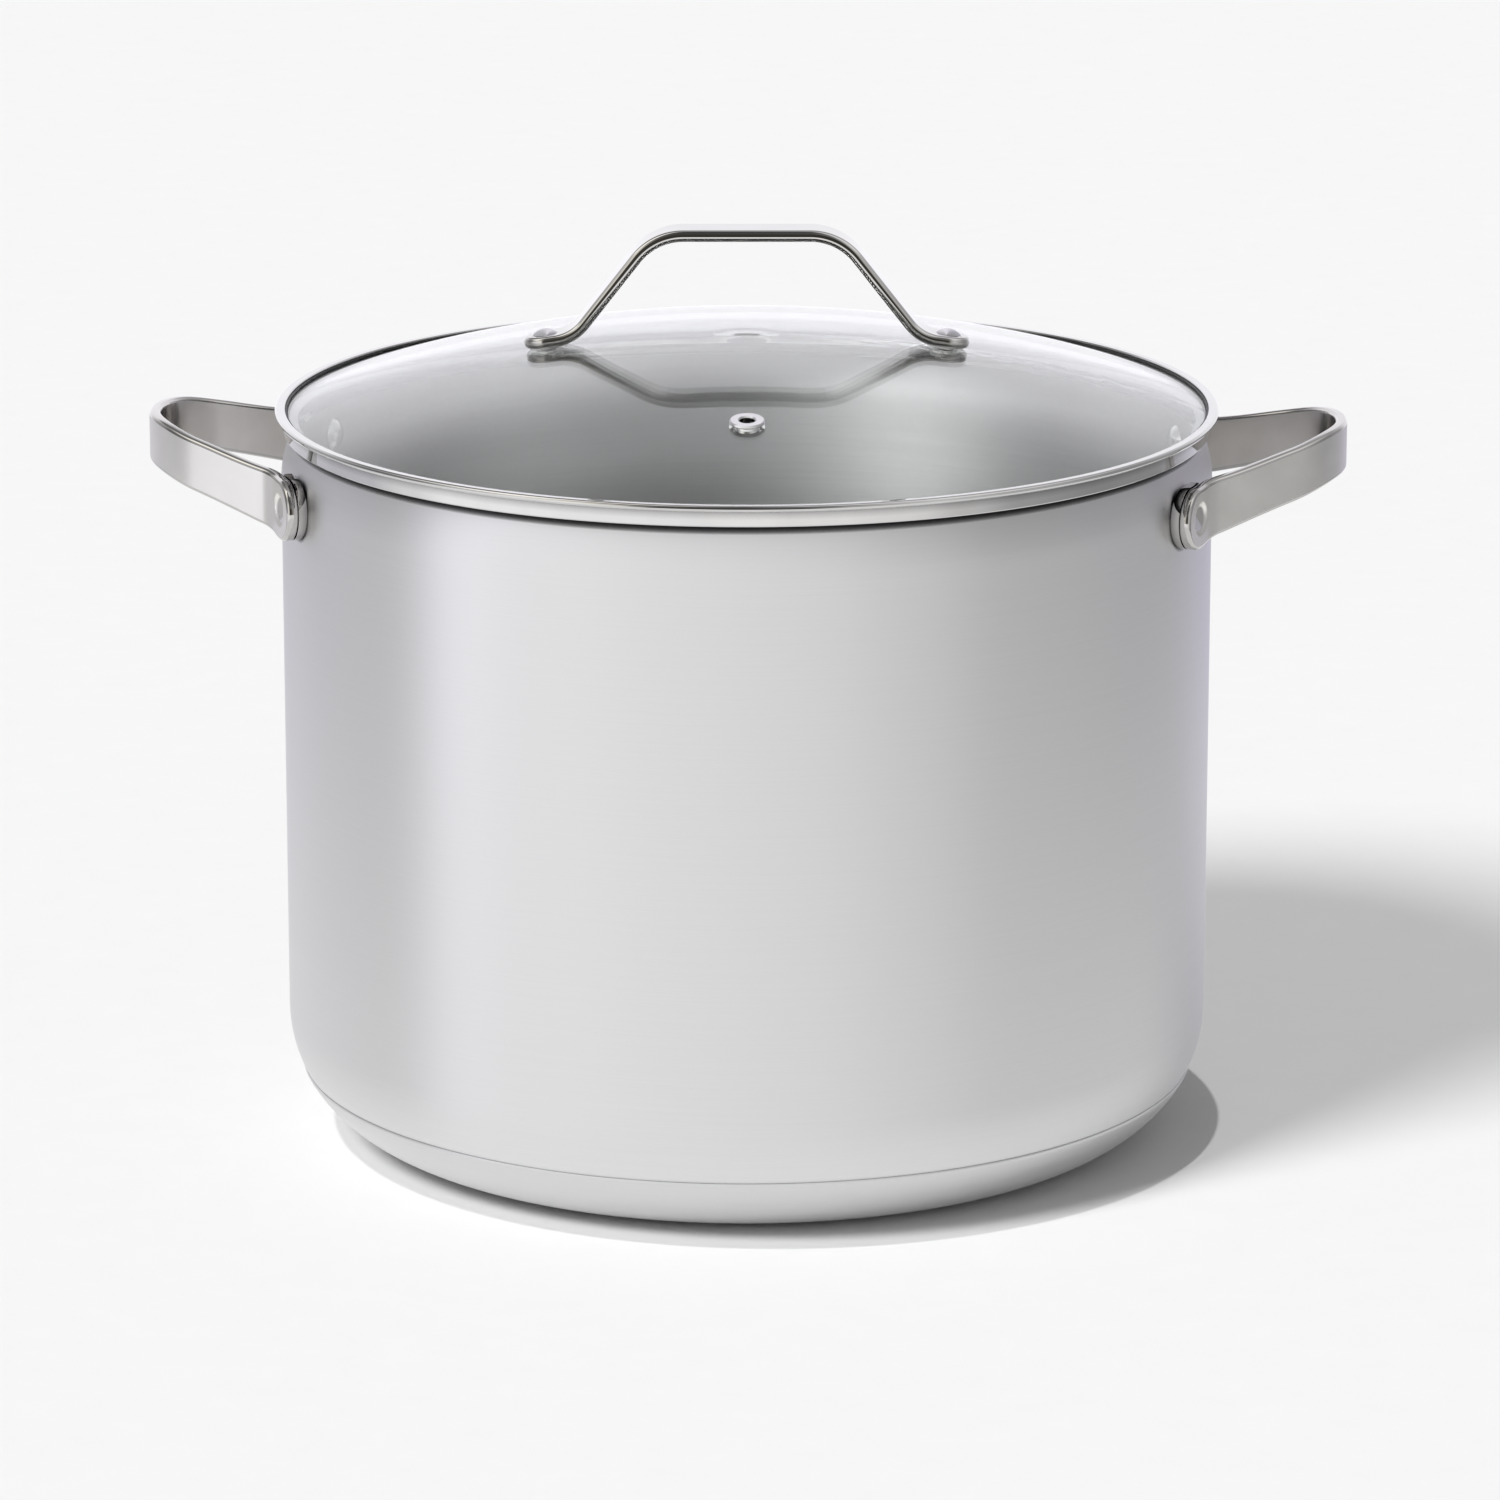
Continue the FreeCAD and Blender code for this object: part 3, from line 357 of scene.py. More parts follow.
def lathe(name, profile, body, slot, node, segments=288):
    """Turns closed or axis-to-axis profiles round Z. profile is a list of (points, material)."""
    points, skins, materials = [], [], []
    for run, material in profile:
        if material not in materials:
            materials.append(material)
        for point in run:
            if points and abs(point[0] - points[-1][0]) + abs(point[1] - points[-1][1]) < 1e-6:
                continue
            points.append(point)
            skins.append(materials.index(material))
    closed = points[0][0] > 1e-9
    verts, rows = [], []
    for reach, height in points:
        if reach < 1e-9:
            rows.append([len(verts)] * segments)
            verts.append((0, 0, height))
            continue
        rows.append(list(range(len(verts), len(verts) + segments)))
        verts += [(reach * math.cos(turn), reach * math.sin(turn), height)
                  for turn in (math.tau * i / segments for i in range(segments))]
    faces, face_materials = [], []
    for row in range(len(points) if closed else len(points) - 1):
        low, high = rows[row], rows[(row + 1) % len(points)]
        for i in range(segments):
            j = (i + 1) % segments
            corners = [low[i], low[j], high[j], high[i]]
            faces.append([c for k, c in enumerate(corners) if c not in corners[:k]])
            face_materials.append(skins[(row + 1) % len(points)])
    return add_piece(name, verts, faces, materials, face_materials, body, slot, node)


def make_pot():
    """The drawn pot: round corner, wall, shoulder and mouth, brushed outside and satin inside."""
    lip = (SHOULDER_AT + (SHOULDER - SHEET / 2) * math.cos(math.radians(SHOULDER_ANGLE)),
           SHOULDER_START + (SHOULDER - SHEET / 2) * math.sin(math.radians(SHOULDER_ANGLE)))
    corner, shoulder = (CORNER_AT, CORNER_UP), (SHOULDER_AT, SHOULDER_START)
    outside = [(0, CORNER_UP - CORNER * CORE_SIN)]
    outside += arc(corner, CORNER, -CORE_ANGLE, 0)
    outside += [(WALL, CORNER_UP + BEND_MARGIN), *[(WALL, row) for row in WALL_ROWS],
                (WALL, SHOULDER_START - BEND_MARGIN)]
    outside += arc(shoulder, SHOULDER, 0, LIP_SHADE_ANGLE)
    neck = arc(shoulder, SHOULDER, LIP_SHADE_ANGLE, SHOULDER_ANGLE, 1.0)
    mouth = arc(lip, SHEET / 2, SHOULDER_ANGLE, SHOULDER_ANGLE + 180, 15)
    inside = arc(shoulder, SHOULDER - SHEET, SHOULDER_ANGLE, 0)
    inside += [(WALL - SHEET, SHOULDER_START - BEND_MARGIN),
               *[(WALL - SHEET, row) for row in reversed(WALL_ROWS)],
               (WALL - SHEET, CORNER_UP + BEND_MARGIN)]
    inside += arc(corner, CORNER - SHEET, 0, -CORE_ANGLE)
    floor_top = CORNER_UP - (CORNER - SHEET) * CORE_SIN
    inside += [(FLOOR_ROW, floor_top), (0, floor_top)]
    lathe("pot_body", [(outside, BODY_STEEL), (neck + mouth, LIP_STEEL_PAINTED_SHADE), (inside, INSIDE_STEEL)],
          "pot", "brushed_steel", "pot_shell")


def make_base():
    """The steel cap of the base, its upper edge dressed down to the pot's corner."""
    corner = (CORNER_AT, CORNER_UP)
    inner, outer = CORNER + GAP, CORNER + GAP + CAP
    outside = [(0, 0), *[(row, 0) for row in UNDERSIDE_ROWS]]
    outside += arc(corner, outer, -90, -CAP_ANGLE - CAP_EDGE_START)
    for turn, share in CAP_EDGE:
        outside += arc(corner, inner + CAP * share, -CAP_ANGLE - turn, -CAP_ANGLE - turn)[:1]
    inside = arc(corner, inner, -CAP_ANGLE - 0.2, -90)
    inside += [(UNDERSIDE_ROWS[-1], CAP), (0, CAP)]
    lathe("base_skin", [(outside + inside, CAP_STEEL)], "pot", "brushed_steel", "base_cap")


def make_rim():
    """Roll-formed rim: skirt, ledge, upright band and the rounded bead on top.

    The numbers under 1 mm are the radii of its small bends and the flats beside them."""
    bead_mid = BEAD_TOP - BEAD_TALL / 2
    in_band, in_skirt = BAND - RIM_SHEET, SKIRT - RIM_SHEET
    points = [(in_skirt, SKIRT_BOTTOM + 0.4), (in_skirt, BAND_BOTTOM + RIM_SHEET - 0.3),
              (in_skirt + 0.3, BAND_BOTTOM + RIM_SHEET), (in_band - 0.3, BAND_BOTTOM + RIM_SHEET),
              (in_band, BAND_BOTTOM + RIM_SHEET + 0.3), (in_band, BEAD_TOP - 0.9)]
    points += arc((in_band + 0.5, BEAD_TOP - 0.5), 0.5, 180, 90, 12)
    points += [(BAND, BEAD_TOP), (BEAD - BEAD_TALL / 2 - 0.3, BEAD_TOP)]
    points += arc((BEAD - BEAD_TALL / 2, bead_mid), BEAD_TALL / 2, 90, -90, 7.5)
    points += [(BAND + 0.35, BEAD_TOP - BEAD_TALL)]
    points += arc((BAND + 0.25, BEAD_TOP - BEAD_TALL - 0.25), 0.25, 90, 180, 15)
    points += [(BAND, BEAD_TOP - BEAD_TALL - 0.5), (BAND, BAND_BOTTOM + 0.7)]
    points += arc((BAND - 0.45, BAND_BOTTOM + 0.45), 0.45, 0, -90, 10)
    points += [(BAND - 0.7, BAND_BOTTOM), (SKIRT + 0.6, BAND_BOTTOM)]
    points += arc((SKIRT + 0.3, BAND_BOTTOM - 0.3), 0.3, 90, 180, 15)
    points += [(SKIRT, BAND_BOTTOM - 0.6), (SKIRT, SKIRT_BOTTOM + 0.5)]
    points += arc((SKIRT - 0.4, SKIRT_BOTTOM + 0.4), 0.4, 0, -180, 15)
    lathe("rim_band", [(points, RIM_STEEL)], "lid", "polished_steel", "lid_rim")


class BentPath:
    """Straight runs joined by tangent arcs in a plane, measured by length from the first point."""

    def __init__(self, corners, bends):
        self.parts, self.length = [], 0.0
        at = Vector(corners[0])
        for i in range(1, len(corners)):
            corner = Vector(corners[i])
            heading = (corner - at).normalized()
            if i == len(corners) - 1 or not bends[i - 1]:
                self.add_line(at, corner)
                at = corner
                continue
            onward = (Vector(corners[i + 1]) - corner).normalized()
            swing = math.atan2(heading.x * onward.y - heading.y * onward.x, heading.dot(onward))
            radius = bends[i - 1]
            back_off = radius * math.tan(abs(swing) / 2)
            self.add_line(at, corner - heading * back_off)
            self.parts.append(("arc", self.length, corner - heading * back_off, heading, radius, swing))
            self.length += radius * abs(swing)
            at = corner + onward * back_off

    def add_line(self, start, stop):
        self.parts.append(("line", self.length, start, (stop - start).normalized(), 0, 0))
        self.length += (stop - start).length

    def at(self, along):
        """Place, heading and left-hand normal at a length along the path."""
        part = self.parts[0]
        for candidate in self.parts:
            if candidate[1] <= along + 1e-9:
                part = candidate
        kind, begun, start, heading, radius, swing = part
        run = along - begun
        if kind == "line":
            return start + heading * run, heading, Vector((-heading.y, heading.x))
        turn = run / radius * (1 if swing > 0 else -1)
        side = Vector((-heading.y, heading.x)) * (1 if swing > 0 else -1)
        rotated = Matrix.Rotation(turn, 2) @ heading
        centre = start + side * radius
        spot = centre + Matrix.Rotation(turn, 2) @ (start - centre)
        return spot, rotated, Vector((-rotated.y, rotated.x))

    def marks(self, straight, curved):
        """Lengths at which a strap needs a row of points."""
        rows = [0.0]
        ends = [part[1] for part in self.parts[1:]] + [self.length]
        for part, stop in zip(self.parts, ends):
            step = straight if part[0] == "line" else math.radians(curved) * part[4]
            count = max(1, math.ceil((stop - part[1]) / step))
            rows += [part[1] + (stop - part[1]) * i / count for i in range(1, count + 1)]
        return rows


def strap(name, path, across_at, tongue, thick, round_off, columns, dents, place, skins, body, slot,
          node):
    """A flat strap bent along a path, with round ends and rounded edges.

    across_at(along) gives its middle and half width across the path, tongue is the length of its
    round ends, round_off is the radius of its edges, and columns are the faces across it. dents
    are the lengths at which its left-hand face is dished round a rivet, and place(point, across)
    puts a point of the path's plane in the pot's frame. skins are the materials of the left-hand
    face, the edges and the right-hand face."""
    rows = set(path.marks(STRAP_STEP, STRAP_TURN))
    for end, inward in ((0.0, 1), (path.length, -1)):
        rows |= {end + inward * tongue * (1 - math.cos(math.radians(turn))) for turn in range(0, 91, 5)}
    for dent in dents:
        rows |= {dent + offset * DISH_STEP for offset in range(-DISH_STEPS, DISH_STEPS + 1)}
    ordered = []
    for row in sorted(rows):
        if 0 <= row <= path.length and (not ordered or row - ordered[-1] > LEAST_STEP):
            ordered.append(row)
    rows = ordered[:-1] + [path.length]

    def half_width(along):
        middle, half = across_at(along)
        near_end = min(along, path.length - along)
        if near_end < tongue:
            half *= math.sqrt(max(0.0, 1 - (1 - near_end / tongue) ** 2))
        return middle, half

    def outline(sign):
        """Points down one side of the flat strap, each with the way in from it."""
        points = []
        for row in rows:
            middle, half = half_width(row)
            points.append(Vector((row, middle + sign * half)))
        ways = [Vector((1.0, 0.0))]
        for before, after in zip(points, points[2:]):
            run = (after - before).normalized()
            ways.append(Vector((run.y, -run.x)) * sign)
        return list(zip(points, ways + [Vector((-1.0, 0.0))]))

    def dish(spot):
        """How far the left-hand face is sunk at a spot."""
        sink = 0.0
        for dent in dents:
            reach = math.hypot(spot.x - dent, spot.y - across_at(dent)[0])
            fall = min(1.0, max(0.0, (DISH_OUTER - reach) / (DISH_OUTER - DISH_INNER)))
            sink = max(sink, DISH_DEEP * fall * fall * (3 - 2 * fall))
        return sink

    verts, faces, face_materials = [], [], []

    def put(spot, off):
        """Adds a point, off the middle of the thickness, and gives its number."""
        point, heading, normal = path.at(spot.x)
        verts.append(place(point + normal * off, spot.y))
        return len(verts) - 1

    quarter = [math.radians(15 * step) for step in range(7)]
    upper = [(round_off * (1 - math.sin(turn)), thick / 2 - round_off * (1 - math.cos(turn)))
             for turn in quarter]
    rings = upper + [(inset, -off) for inset, off in reversed(upper)]
    sides = {1: outline(1), -1: outline(-1)}
    loops = {1: [], -1: []}
    for sign in (1, -1):
        for i, (point, way) in enumerate(sides[sign]):
            shared = sign < 0 and i in (0, len(rows) - 1)
            loops[sign].append(loops[1][i] if shared else
                               [put(point + way * inset, off) for inset, off in rings])
        for here, there in zip(loops[sign], loops[sign][1:]):
            for k in range(len(rings) - 1):
                quad = [here[k], there[k], there[k + 1], here[k + 1]]
                faces.append(quad[::-1] if sign > 0 else quad)
                face_materials.append(1)
    for ring, off in ((0, thick / 2), (len(rings) - 1, -thick / 2)):
        inset = rings[ring][0]
        grid = []
        for i in range(len(rows)):
            high, low = loops[1][i][ring], loops[-1][i][ring]
            row = [low]
            near, far = (point + way * inset for point, way in (sides[-1][i], sides[1][i]))
            for column in range(1, columns):
                spot = near.lerp(far, column / columns)
                row.append(low if high == low else put(spot, off - (dish(spot) if off > 0 else 0)))
            grid.append(row + [high])
        for here, there in zip(grid, grid[1:]):
            for column in range(columns):
                quad = [here[column], there[column], there[column + 1], here[column + 1]]
                quad = [v for k, v in enumerate(quad) if v not in quad[:k]]
                if len(quad) > 2:
                    faces.append(quad[::-1] if off > 0 else quad)
                    face_materials.append(0 if off > 0 else 2)
    return add_piece(name, verts, faces, skins, face_materials, body, slot, node)


def make_side_handle(side, turn):
    """Strap loop: round tongues, legs that climb and lean out, and a level grip."""
    lean = math.radians(HANDLE_AZIMUTH)
    middle = WALL + PLATE + GAP + STRAP / 2
    rivet = Vector((middle * math.cos(lean), middle * math.sin(lean)))
    along = Vector((math.sin(lean), -math.cos(lean)))
    tongue = TONGUE / math.cos(lean)
    back = [rivet - along * tongue, rivet + along * PAD_BEND, Vector((GRIP_REACH, GRIP_HALF))]
    path = BentPath(back + [Vector((point.x, -point.y)) for point in reversed(back)],
                    [PAD_BEND_RADIUS, GRIP_BEND_RADIUS, GRIP_BEND_RADIUS, PAD_BEND_RADIUS])
    knots = ((0, GRIP_HEIGHT, GRIP_TALL / 2), *GRIP_SIDE_VIEW, (rivet.y, HANDLE_HEIGHT, TONGUE),
             (PAST_THE_END, HANDLE_HEIGHT, TONGUE))

    def knot_value(reach, column):
        for (a, *low), (b, *high) in zip(knots, knots[1:]):
            if reach <= b:
                return low[column] + (high[column] - low[column]) * (reach - a) / (b - a)

    def across_at(length):
        aside = path.at(length)[0].y
        samples = [abs(aside + offset) for offset in SIDE_VIEW_BLEND]
        return tuple(sum(knot_value(sample, column) for sample in samples) / len(samples)
                     for column in (0, 1))

    strap(f"{side}_grip", path, across_at, tongue, STRAP, GRIP_ROUND, GRIP_COLUMNS,
          (tongue, path.length - tongue),
          lambda point, across: (point.x * turn, point.y * turn, across),
          [SATIN_STEEL, EDGE_STEEL, BUFFED_STEEL], "pot", "polished_steel", f"side_handle_{side}")


def make_lid_handle():
    """Arched strap: level top, leaning legs, and tongues that lie along the glass."""
    rise = GLASS_APEX - GLASS_EDGE
    dome = (GLASS_RADIUS ** 2 + rise ** 2) / (2 * rise)
    stand = dome + SEAT_GAP * 2 + GASKET_TALL + LID_STRAP_THICK / 2
    lean = math.asin(SCREW_REACH / dome)
    foot = Vector((stand * math.sin(lean), GLASS_APEX - dome + stand * math.cos(lean)))
    slope, steep = math.tan(lean), 1 / math.tan(math.radians(ARCH_LEAN))
    knee = (ARCH_HALF * steep - foot.x * slope + ARCH_TOP - foot.y) / (steep - slope)
    half = LID_STRAP_WIDE / 2
    right = [Vector((ARCH_HALF, ARCH_TOP)), Vector((knee, ARCH_TOP - (knee - ARCH_HALF) * steep)),
             foot + Vector((half, -slope * half))]
    corners = [Vector((-point.x, point.y)) for point in reversed(right)] + right
    path = BentPath(corners, [ARCH_FOOT_BEND, ARCH_TOP_BEND, ARCH_TOP_BEND, ARCH_FOOT_BEND])
    turn = math.radians(LID_TURN)

    def place(point, across):
        return (point.x * math.cos(turn) + across * math.sin(turn),
                point.x * math.sin(turn) - across * math.cos(turn), point.y)

    strap("lid_arch", path, lambda length: (0.0, half), ARCH_TONGUE, LID_STRAP_THICK, ARCH_ROUND,
          ARCH_COLUMNS, (), place, [ARCH_STEEL] * 3, "lid", "polished_steel", "lid_handle")


make_pot()
make_base()
make_rim()
make_side_handle("right", 1)
make_side_handle("left", -1)
make_lid_handle()


# ---------------------------------------------------------------- studio

# Metres and degrees.
CAMERA_TURN, CAMERA_PITCH = math.radians(2.5), math.radians(14.70)
CAMERA_REACH, CAMERA_HEIGHT, CAMERA_ASIDE = 2.3335, 0.7344, 0.00103
CAMERA_SENSOR, CAMERA_LENS = 36, 180
NEAREST, FARTHEST = 0.1, 60
FLOOR_HALF = 14.0
PAPER_TONES = ((0.885, 0.885, 0.885), (0.895, 0.895, 0.895))
FLOOR_LIGHT = 1.052  # all the light on the open floor
FILL_SHARE = 0.26  # the walls' part of it; the lamps give the rest
RAMP_TOP = 4.0  # a ramp's colours stay under 1, so brightness is divided by this and given back
TENT_RADIUS, TENT_HEIGHT, TENT_CARDS = 0.66, 1.6, 96
WALL_TINT = (0.985, 0.985, 1.0)

# Rings of light on the walls. Each stop is (degrees from the camera's side towards +X,
# brightness, blueness, which is below 0 for warm light).
SOFT_LOW = (
    (-180, 1.15, 0.04), (-135, 0.70, 0.06), (-108, 0.55, 0.05), (-94, 0.52, 0.04), (-82, 0.44, 0.0),
    (-75, 0.66, 0.05), (-67, 1.34, 0.05), (-59, 1.26, 0.02), (-51, 1.04, 0.0), (-37, 1.10, 0.0),
    (-12, 0.98, 0.0), (15, 0.88, 0.0), (40, 0.66, 0.0), (60, 0.38, 0.0), (97, 0.32, 0.03),
    (117, 0.38, 0.04), (140, 0.60, 0.14), (180, 1.15, 0.04),
)
SOFT_HIGH = (
    (-180, 1.0, 0.05), (-135, 0.6, 0.05), (-108, 0.5, 0.04), (-84, 0.50, 0.0), (-73, 0.95, 0.04),
    (-60, 1.2, 0.04), (-45, 1.0, 0.0), (-10, 0.90, 0.0), (20, 0.80, 0.0), (40, 0.62, 0.0),
    (66, 0.42, 0.0), (110, 0.40, 0.03), (140, 0.5, 0.10), (180, 1.0, 0.05),
)
SHARP_LOW = (
    (-180, 1.15, 0.04), (-135, 0.80, 0.04), (-108, 0.70, 0.05), (-94, 0.72, 0.04), (-80, 1.00, 0.0),
    (-66, 1.28, 0.0), (-30, 1.24, 0.0), (0, 1.18, -0.02), (20, 1.10, -0.02), (38, 1.00, -0.02),
    (52, 0.72, -0.02), (66, 0.45, 0.0), (90, 0.35, 0.0), (110, 0.35, 0.0), (140, 0.75, 0.08),
    (180, 1.15, 0.04),
)
SHARP_MIDDLE = (
    (-180, 1.15, 0.02), (-140, 1.20, 0.02), (-108, 0.45, 0.0), (-90, 0.20, 0.0), (-76, 0.30, 0.0),
    (-60, 0.85, 0.0), (-46, 1.10, -0.04), (-34, 1.25, -0.10), (-26, 0.90, -0.12), (-17, 0.07, -0.25),
    (14, 0.05, -0.25), (26, 0.50, -0.10), (44, 0.75, 0.0), (66, 0.60, 0.0), (97, 0.35, 0.0),
    (117, 0.45, 0.0), (140, 1.10, 0.02), (180, 1.15, 0.02),
)
SHARP_HIGH = (
    (-180, 1.15, 0.02), (-140, 1.20, 0.02), (-108, 0.60, 0.0), (-90, 0.15, 0.0), (-76, 0.15, 0.0),
    (-60, 0.50, 0.0), (-42, 1.05, -0.10), (-30, 1.00, -0.14), (-22, 0.50, -0.12), (-14, 0.15, -0.10),
    (0, 0.10, -0.10), (16, 0.25, 0.0), (32, 0.65, 0.0), (46, 0.70, 0.0), (66, 0.40, 0.0),
    (100, 0.35, 0.0), (140, 0.80, 0.02), (160, 1.15, 0.02), (180, 1.15, 0.02),
)
SHARP_TOP = (
    (-180, 0.45, 0.0), (-140, 0.18, 0.0), (-110, 0.30, 0.0), (-88, 1.20, -0.08), (-72, 1.80, -0.12),
    (-56, 1.50, -0.12), (-44, 0.60, -0.08), (-30, 0.15, 0.0), (0, 0.08, 0.0), (26, 0.20, 0.0),
    (42, 0.70, 0.0), (60, 1.15, -0.04), (80, 1.05, -0.04), (100, 0.75, 0.0), (130, 0.50, 0.0),
    (180, 0.45, 0.0),
)
# Stacked from the floor up. Each pair is the height of a direction over which a ring takes over.
SOFT_RINGS = ((None, SOFT_LOW), ((0.42, 0.56), SOFT_HIGH))
SHARP_RINGS = ((None, SHARP_LOW), ((0.195, 0.225), SHARP_MIDDLE), ((0.50, 0.62), SHARP_HIGH),
               ((0.61, 0.75), SHARP_TOP))


def floor_material():
    material, tree, shader = new_material("paper_sweep")
    grain = noise(tree, (60, 60, 60), detail=3)
    link(tree, colour_mix(tree, spread(tree, grain, 0, 1), *PAPER_TONES), shader.inputs["Base Color"])
    shader.inputs["Roughness"].default_value = 0.9
    shader.inputs["Specular IOR Level"].default_value = 0.1
    return material


def make_floor():
    mesh = bpy.data.meshes.new("floor")
    corners = [(x * FLOOR_HALF, y * FLOOR_HALF, 0) for x, y in ((-1, -1), (1, -1), (1, 1), (-1, 1))]
    mesh.from_pydata(corners, [], [(0, 1, 2, 3)])
    floor = bpy.data.objects.new("floor", mesh)
    bpy.context.scene.collection.objects.link(floor)
    mesh.materials.append(floor_material())
    floor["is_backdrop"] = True


def sun(name, heading, elevation, width, share):
    """A distant lamp, width degrees across, that gives the floor a share of FLOOR_LIGHT. Its light
    travels towards heading (degrees from the camera's right towards the back)."""
    data = bpy.data.lights.new(name, "SUN")
    data.angle = math.radians(width)
    rise, turned = math.radians(elevation), math.radians(heading) + CAMERA_TURN
    data.energy = share * FLOOR_LIGHT * math.pi / math.sin(rise)
    travel = Vector((math.cos(rise) * math.cos(turned), math.cos(rise) * math.sin(turned),
                     -math.sin(rise)))
    lamp = bpy.data.objects.new(name, data)
    lamp.rotation_euler = travel.to_track_quat("-Z", "Y").to_euler()
    lamp.visible_glossy = False
    bpy.context.scene.collection.objects.link(lamp)
    return lamp


def ring_ramp(tree, fraction, stops):
    """One ring of light on the studio walls, from its stops."""
    ramp = tree.nodes.new("ShaderNodeValToRGB")
    ramp.color_ramp.interpolation = "EASE"
    elements = ramp.color_ramp.elements
    while len(elements) < len(stops):
        elements.new(1.0)
    for element, (angle, bright, blue) in zip(elements, stops):
        value = bright / RAMP_TOP
        element.position = angle / 360 + 0.5
        element.color = (value, value * (1 - abs(blue) / 4), value * (1 + blue), 1)
    link(tree, fraction, ramp.inputs["Fac"])
    return ramp.outputs["Color"]


def stacked_rings(tree, around, height, rings):
    """Rings of brightness mixed by height. rings are ((start, stop) of the change, stops)."""
    colour = ring_ramp(tree, around, rings[0][1])
    for (start, stop), stops in rings[1:]:
        rise = tree.nodes.new("ShaderNodeMapRange")
        rise.interpolation_type = "SMOOTHSTEP"
        rise.inputs["From Min"].default_value, rise.inputs["From Max"].default_value = start, stop
        link(tree, height, rise.inputs["Value"])
        colour = mixed(tree, rise.outputs["Result"], colour, ring_ramp(tree, around, stops))
    return colour


def mixed(tree, factor, first, second):
    mix = tree.nodes.new("ShaderNodeMix")
    mix.data_type = "RGBA"
    link(tree, factor, mix.inputs["Factor"])
    link(tree, first, mix.inputs["A"])
    link(tree, second, mix.inputs["B"])
    return mix.outputs["Result"]


def wall_colour(tree, place):
    """Colour of the studio walls in the direction of place. A ray straight from a mirror or through
    the glass sees the sharp rings, one from a brushed face the soft rings, and one that has left a
    matt face an even fill."""
    split = tree.nodes.new("ShaderNodeSeparateXYZ")
    link(tree, place, split.inputs["Vector"])
    back = math_node(tree, "MULTIPLY", split.outputs["Y"], -1.0)
    around = math_node(tree, "ARCTAN2", split.outputs["X"], back)
    fraction = math_node(tree, "MULTIPLY_ADD", around, 0.5 / math.pi, 0.5)
    path = tree.nodes.new("ShaderNodeLightPath")
    sharp = math_node(tree, "MAXIMUM", path.outputs["Is Singular Ray"],
                      path.outputs["Is Transmission Ray"])
    colour = mixed(tree, sharp, stacked_rings(tree, fraction, split.outputs["Z"], SOFT_RINGS),
                   stacked_rings(tree, fraction, split.outputs["Z"], SHARP_RINGS))
    tint = tree.nodes.new("ShaderNodeMix")
    tint.data_type, tint.blend_type = "RGBA", "MULTIPLY"
    tint.inputs["Factor"].default_value = 1
    tint.inputs["B"].default_value = (*WALL_TINT, 1)
    link(tree, colour, tint.inputs["A"])
    even = tree.nodes.new("ShaderNodeRGB")
    even.outputs[0].default_value = (*[FILL_SHARE * FLOOR_LIGHT / RAMP_TOP] * 3, 1)
    scattered = math_node(tree, "MINIMUM", path.outputs["Diffuse Depth"], 1.0)
    return mixed(tree, scattered, tint.outputs["Result"], even.outputs[0])


def make_world():
    """The studio walls as the background, for rays that pass over the tent."""
    world = bpy.data.worlds.new("studio")
    bpy.context.scene.world = world
    world.use_nodes = True
    world.cycles.sampling_method = "NONE"
    tree = world.node_tree
    walls = tree.nodes["Background"]
    coordinate = tree.nodes.new("ShaderNodeTexCoord").outputs["Generated"]
    link(tree, wall_colour(tree, coordinate), walls.inputs["Color"])
    walls.inputs["Strength"].default_value = RAMP_TOP


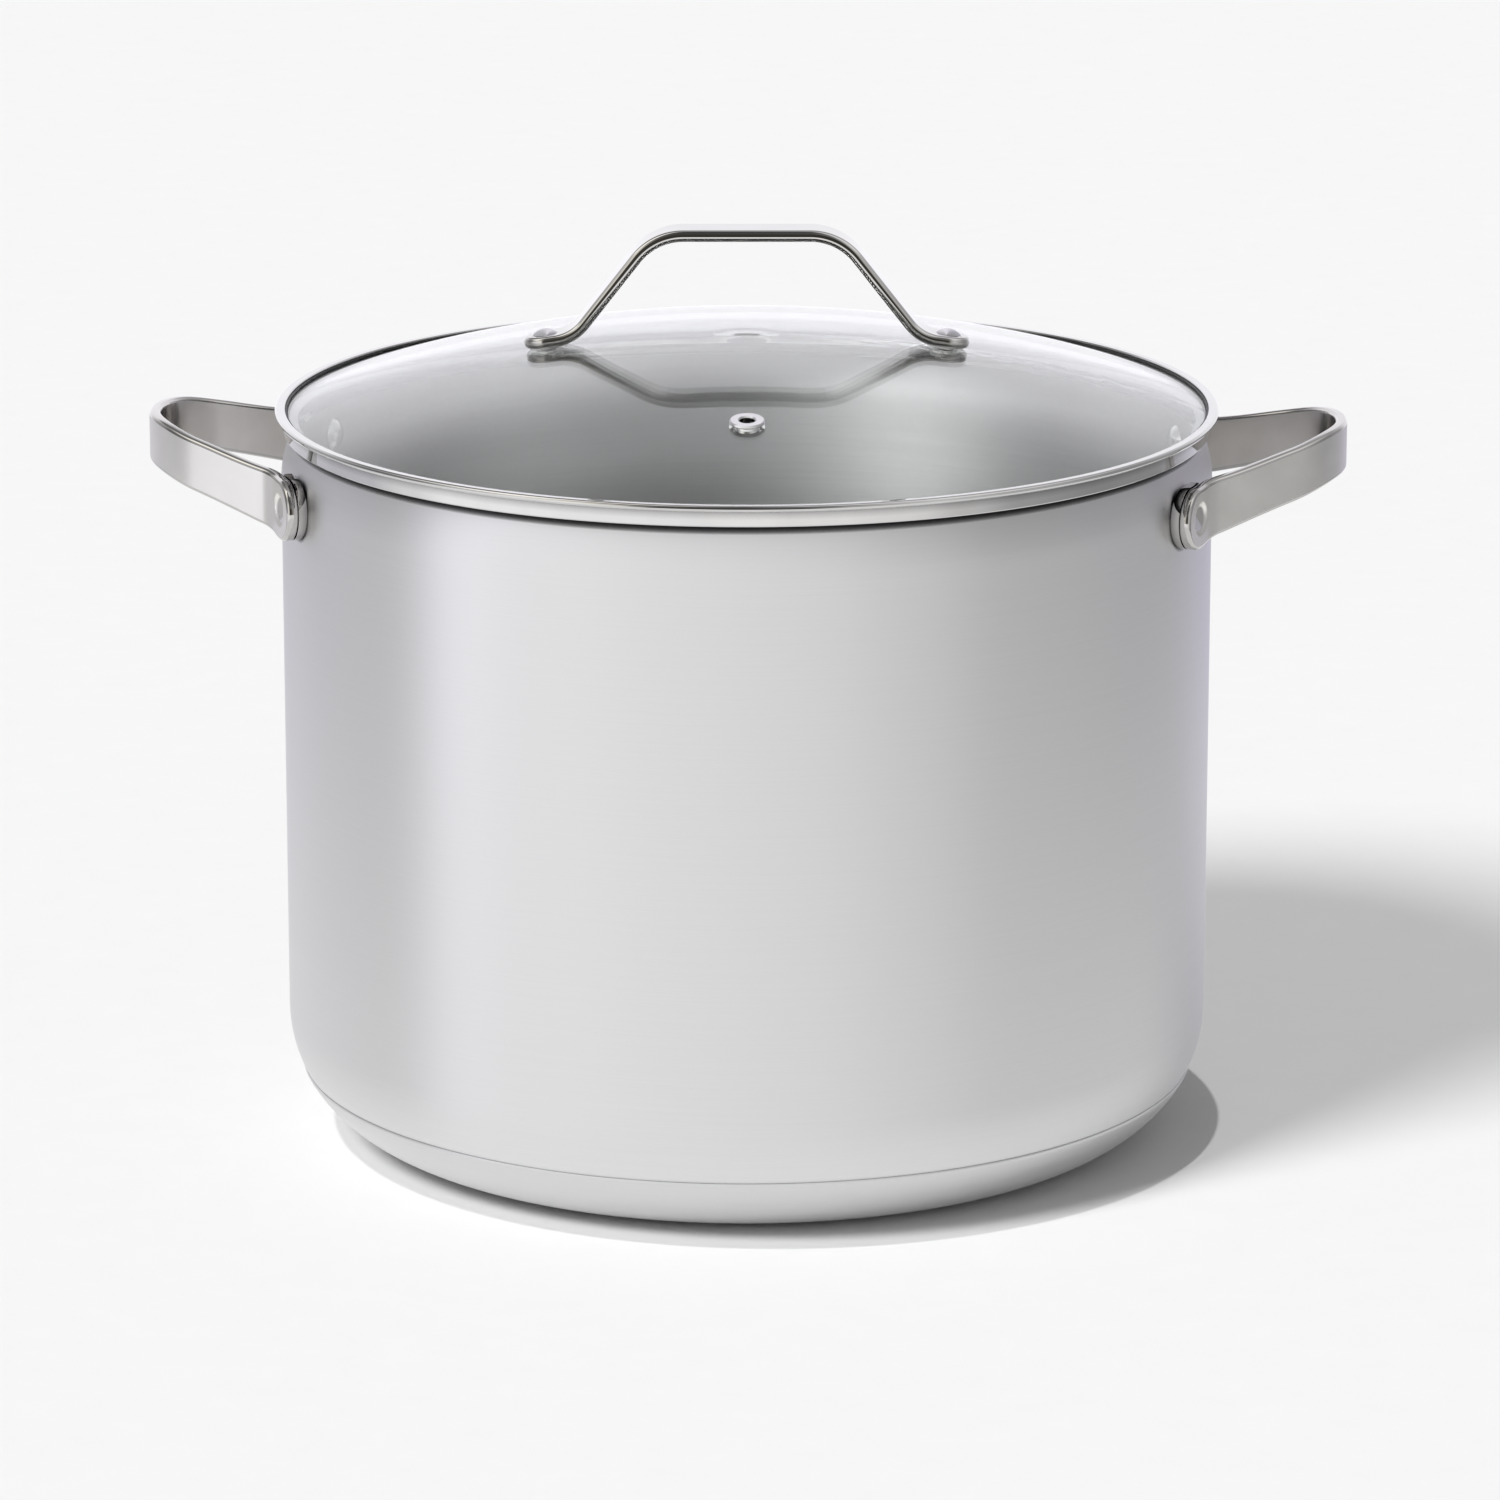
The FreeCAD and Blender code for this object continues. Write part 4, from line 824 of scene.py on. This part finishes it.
def make_tent():
    """Round wall of cards near the pot. Only reflections see it; it hides the far floor from them."""
    bottom = [(TENT_RADIUS * math.cos(turn), TENT_RADIUS * math.sin(turn), 0.0)
              for turn in (math.tau * card / TENT_CARDS for card in range(TENT_CARDS))]
    top = [(x, y, TENT_HEIGHT) for x, y, z in bottom]
    faces = [(card, after, after + TENT_CARDS, card + TENT_CARDS)
             for card, after in ((card, (card + 1) % TENT_CARDS) for card in range(TENT_CARDS))]
    mesh = bpy.data.meshes.new("tent")
    mesh.from_pydata(bottom + top, [], faces)
    material, tree, shader = new_material("tent_cards")
    tree.nodes.remove(shader)
    place = tree.nodes.new("ShaderNodeNewGeometry").outputs["Position"]
    direction = tree.nodes.new("ShaderNodeVectorMath")
    direction.operation = "NORMALIZE"
    link(tree, place, direction.inputs[0])
    glow = tree.nodes.new("ShaderNodeEmission")
    link(tree, wall_colour(tree, direction.outputs["Vector"]), glow.inputs["Color"])
    glow.inputs["Strength"].default_value = RAMP_TOP
    link(tree, glow.outputs["Emission"], tree.nodes["Material Output"].inputs["Surface"])
    material.cycles.emission_sampling = "NONE"
    mesh.materials.append(material)
    tent = bpy.data.objects.new("tent", mesh)
    bpy.context.scene.collection.objects.link(tent)
    tent.visible_camera = tent.visible_diffuse = False
    tent.visible_shadow = tent.visible_transmission = False
    tent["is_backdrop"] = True


make_world()
make_floor()
make_tent()
sun("low_key", heading=44, elevation=44, width=18, share=0.47)
# A small lamp that only the base stands in the way of, for the crisp shade along the floor.
base_key = sun("base_key", heading=24, elevation=64, width=3, share=0.27)
base_only = bpy.data.collections.new("casts_base_key")
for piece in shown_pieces():
    if piece.name.startswith("base_"):
        base_only.objects.link(piece)
base_key.light_linking.blocker_collection = base_only


def make_camera():
    """The photograph's viewpoint: in front, a little to one side, and looking slightly down."""
    data = bpy.data.cameras.new("camera")
    data.sensor_width, data.lens = CAMERA_SENSOR, CAMERA_LENS
    data.clip_start, data.clip_end = NEAREST, FARTHEST
    camera = bpy.data.objects.new("camera", data)
    spot = Vector((CAMERA_ASIDE, -CAMERA_REACH, CAMERA_HEIGHT))
    camera.location = Matrix.Rotation(CAMERA_TURN, 3, "Z") @ spot
    camera.rotation_euler = (math.pi / 2 - CAMERA_PITCH, 0, CAMERA_TURN)
    bpy.context.scene.collection.objects.link(camera)
    bpy.context.scene.camera = camera


make_camera()
scene = bpy.context.scene
scene.view_settings.view_transform = "Standard"
scene.view_settings.look = "None"
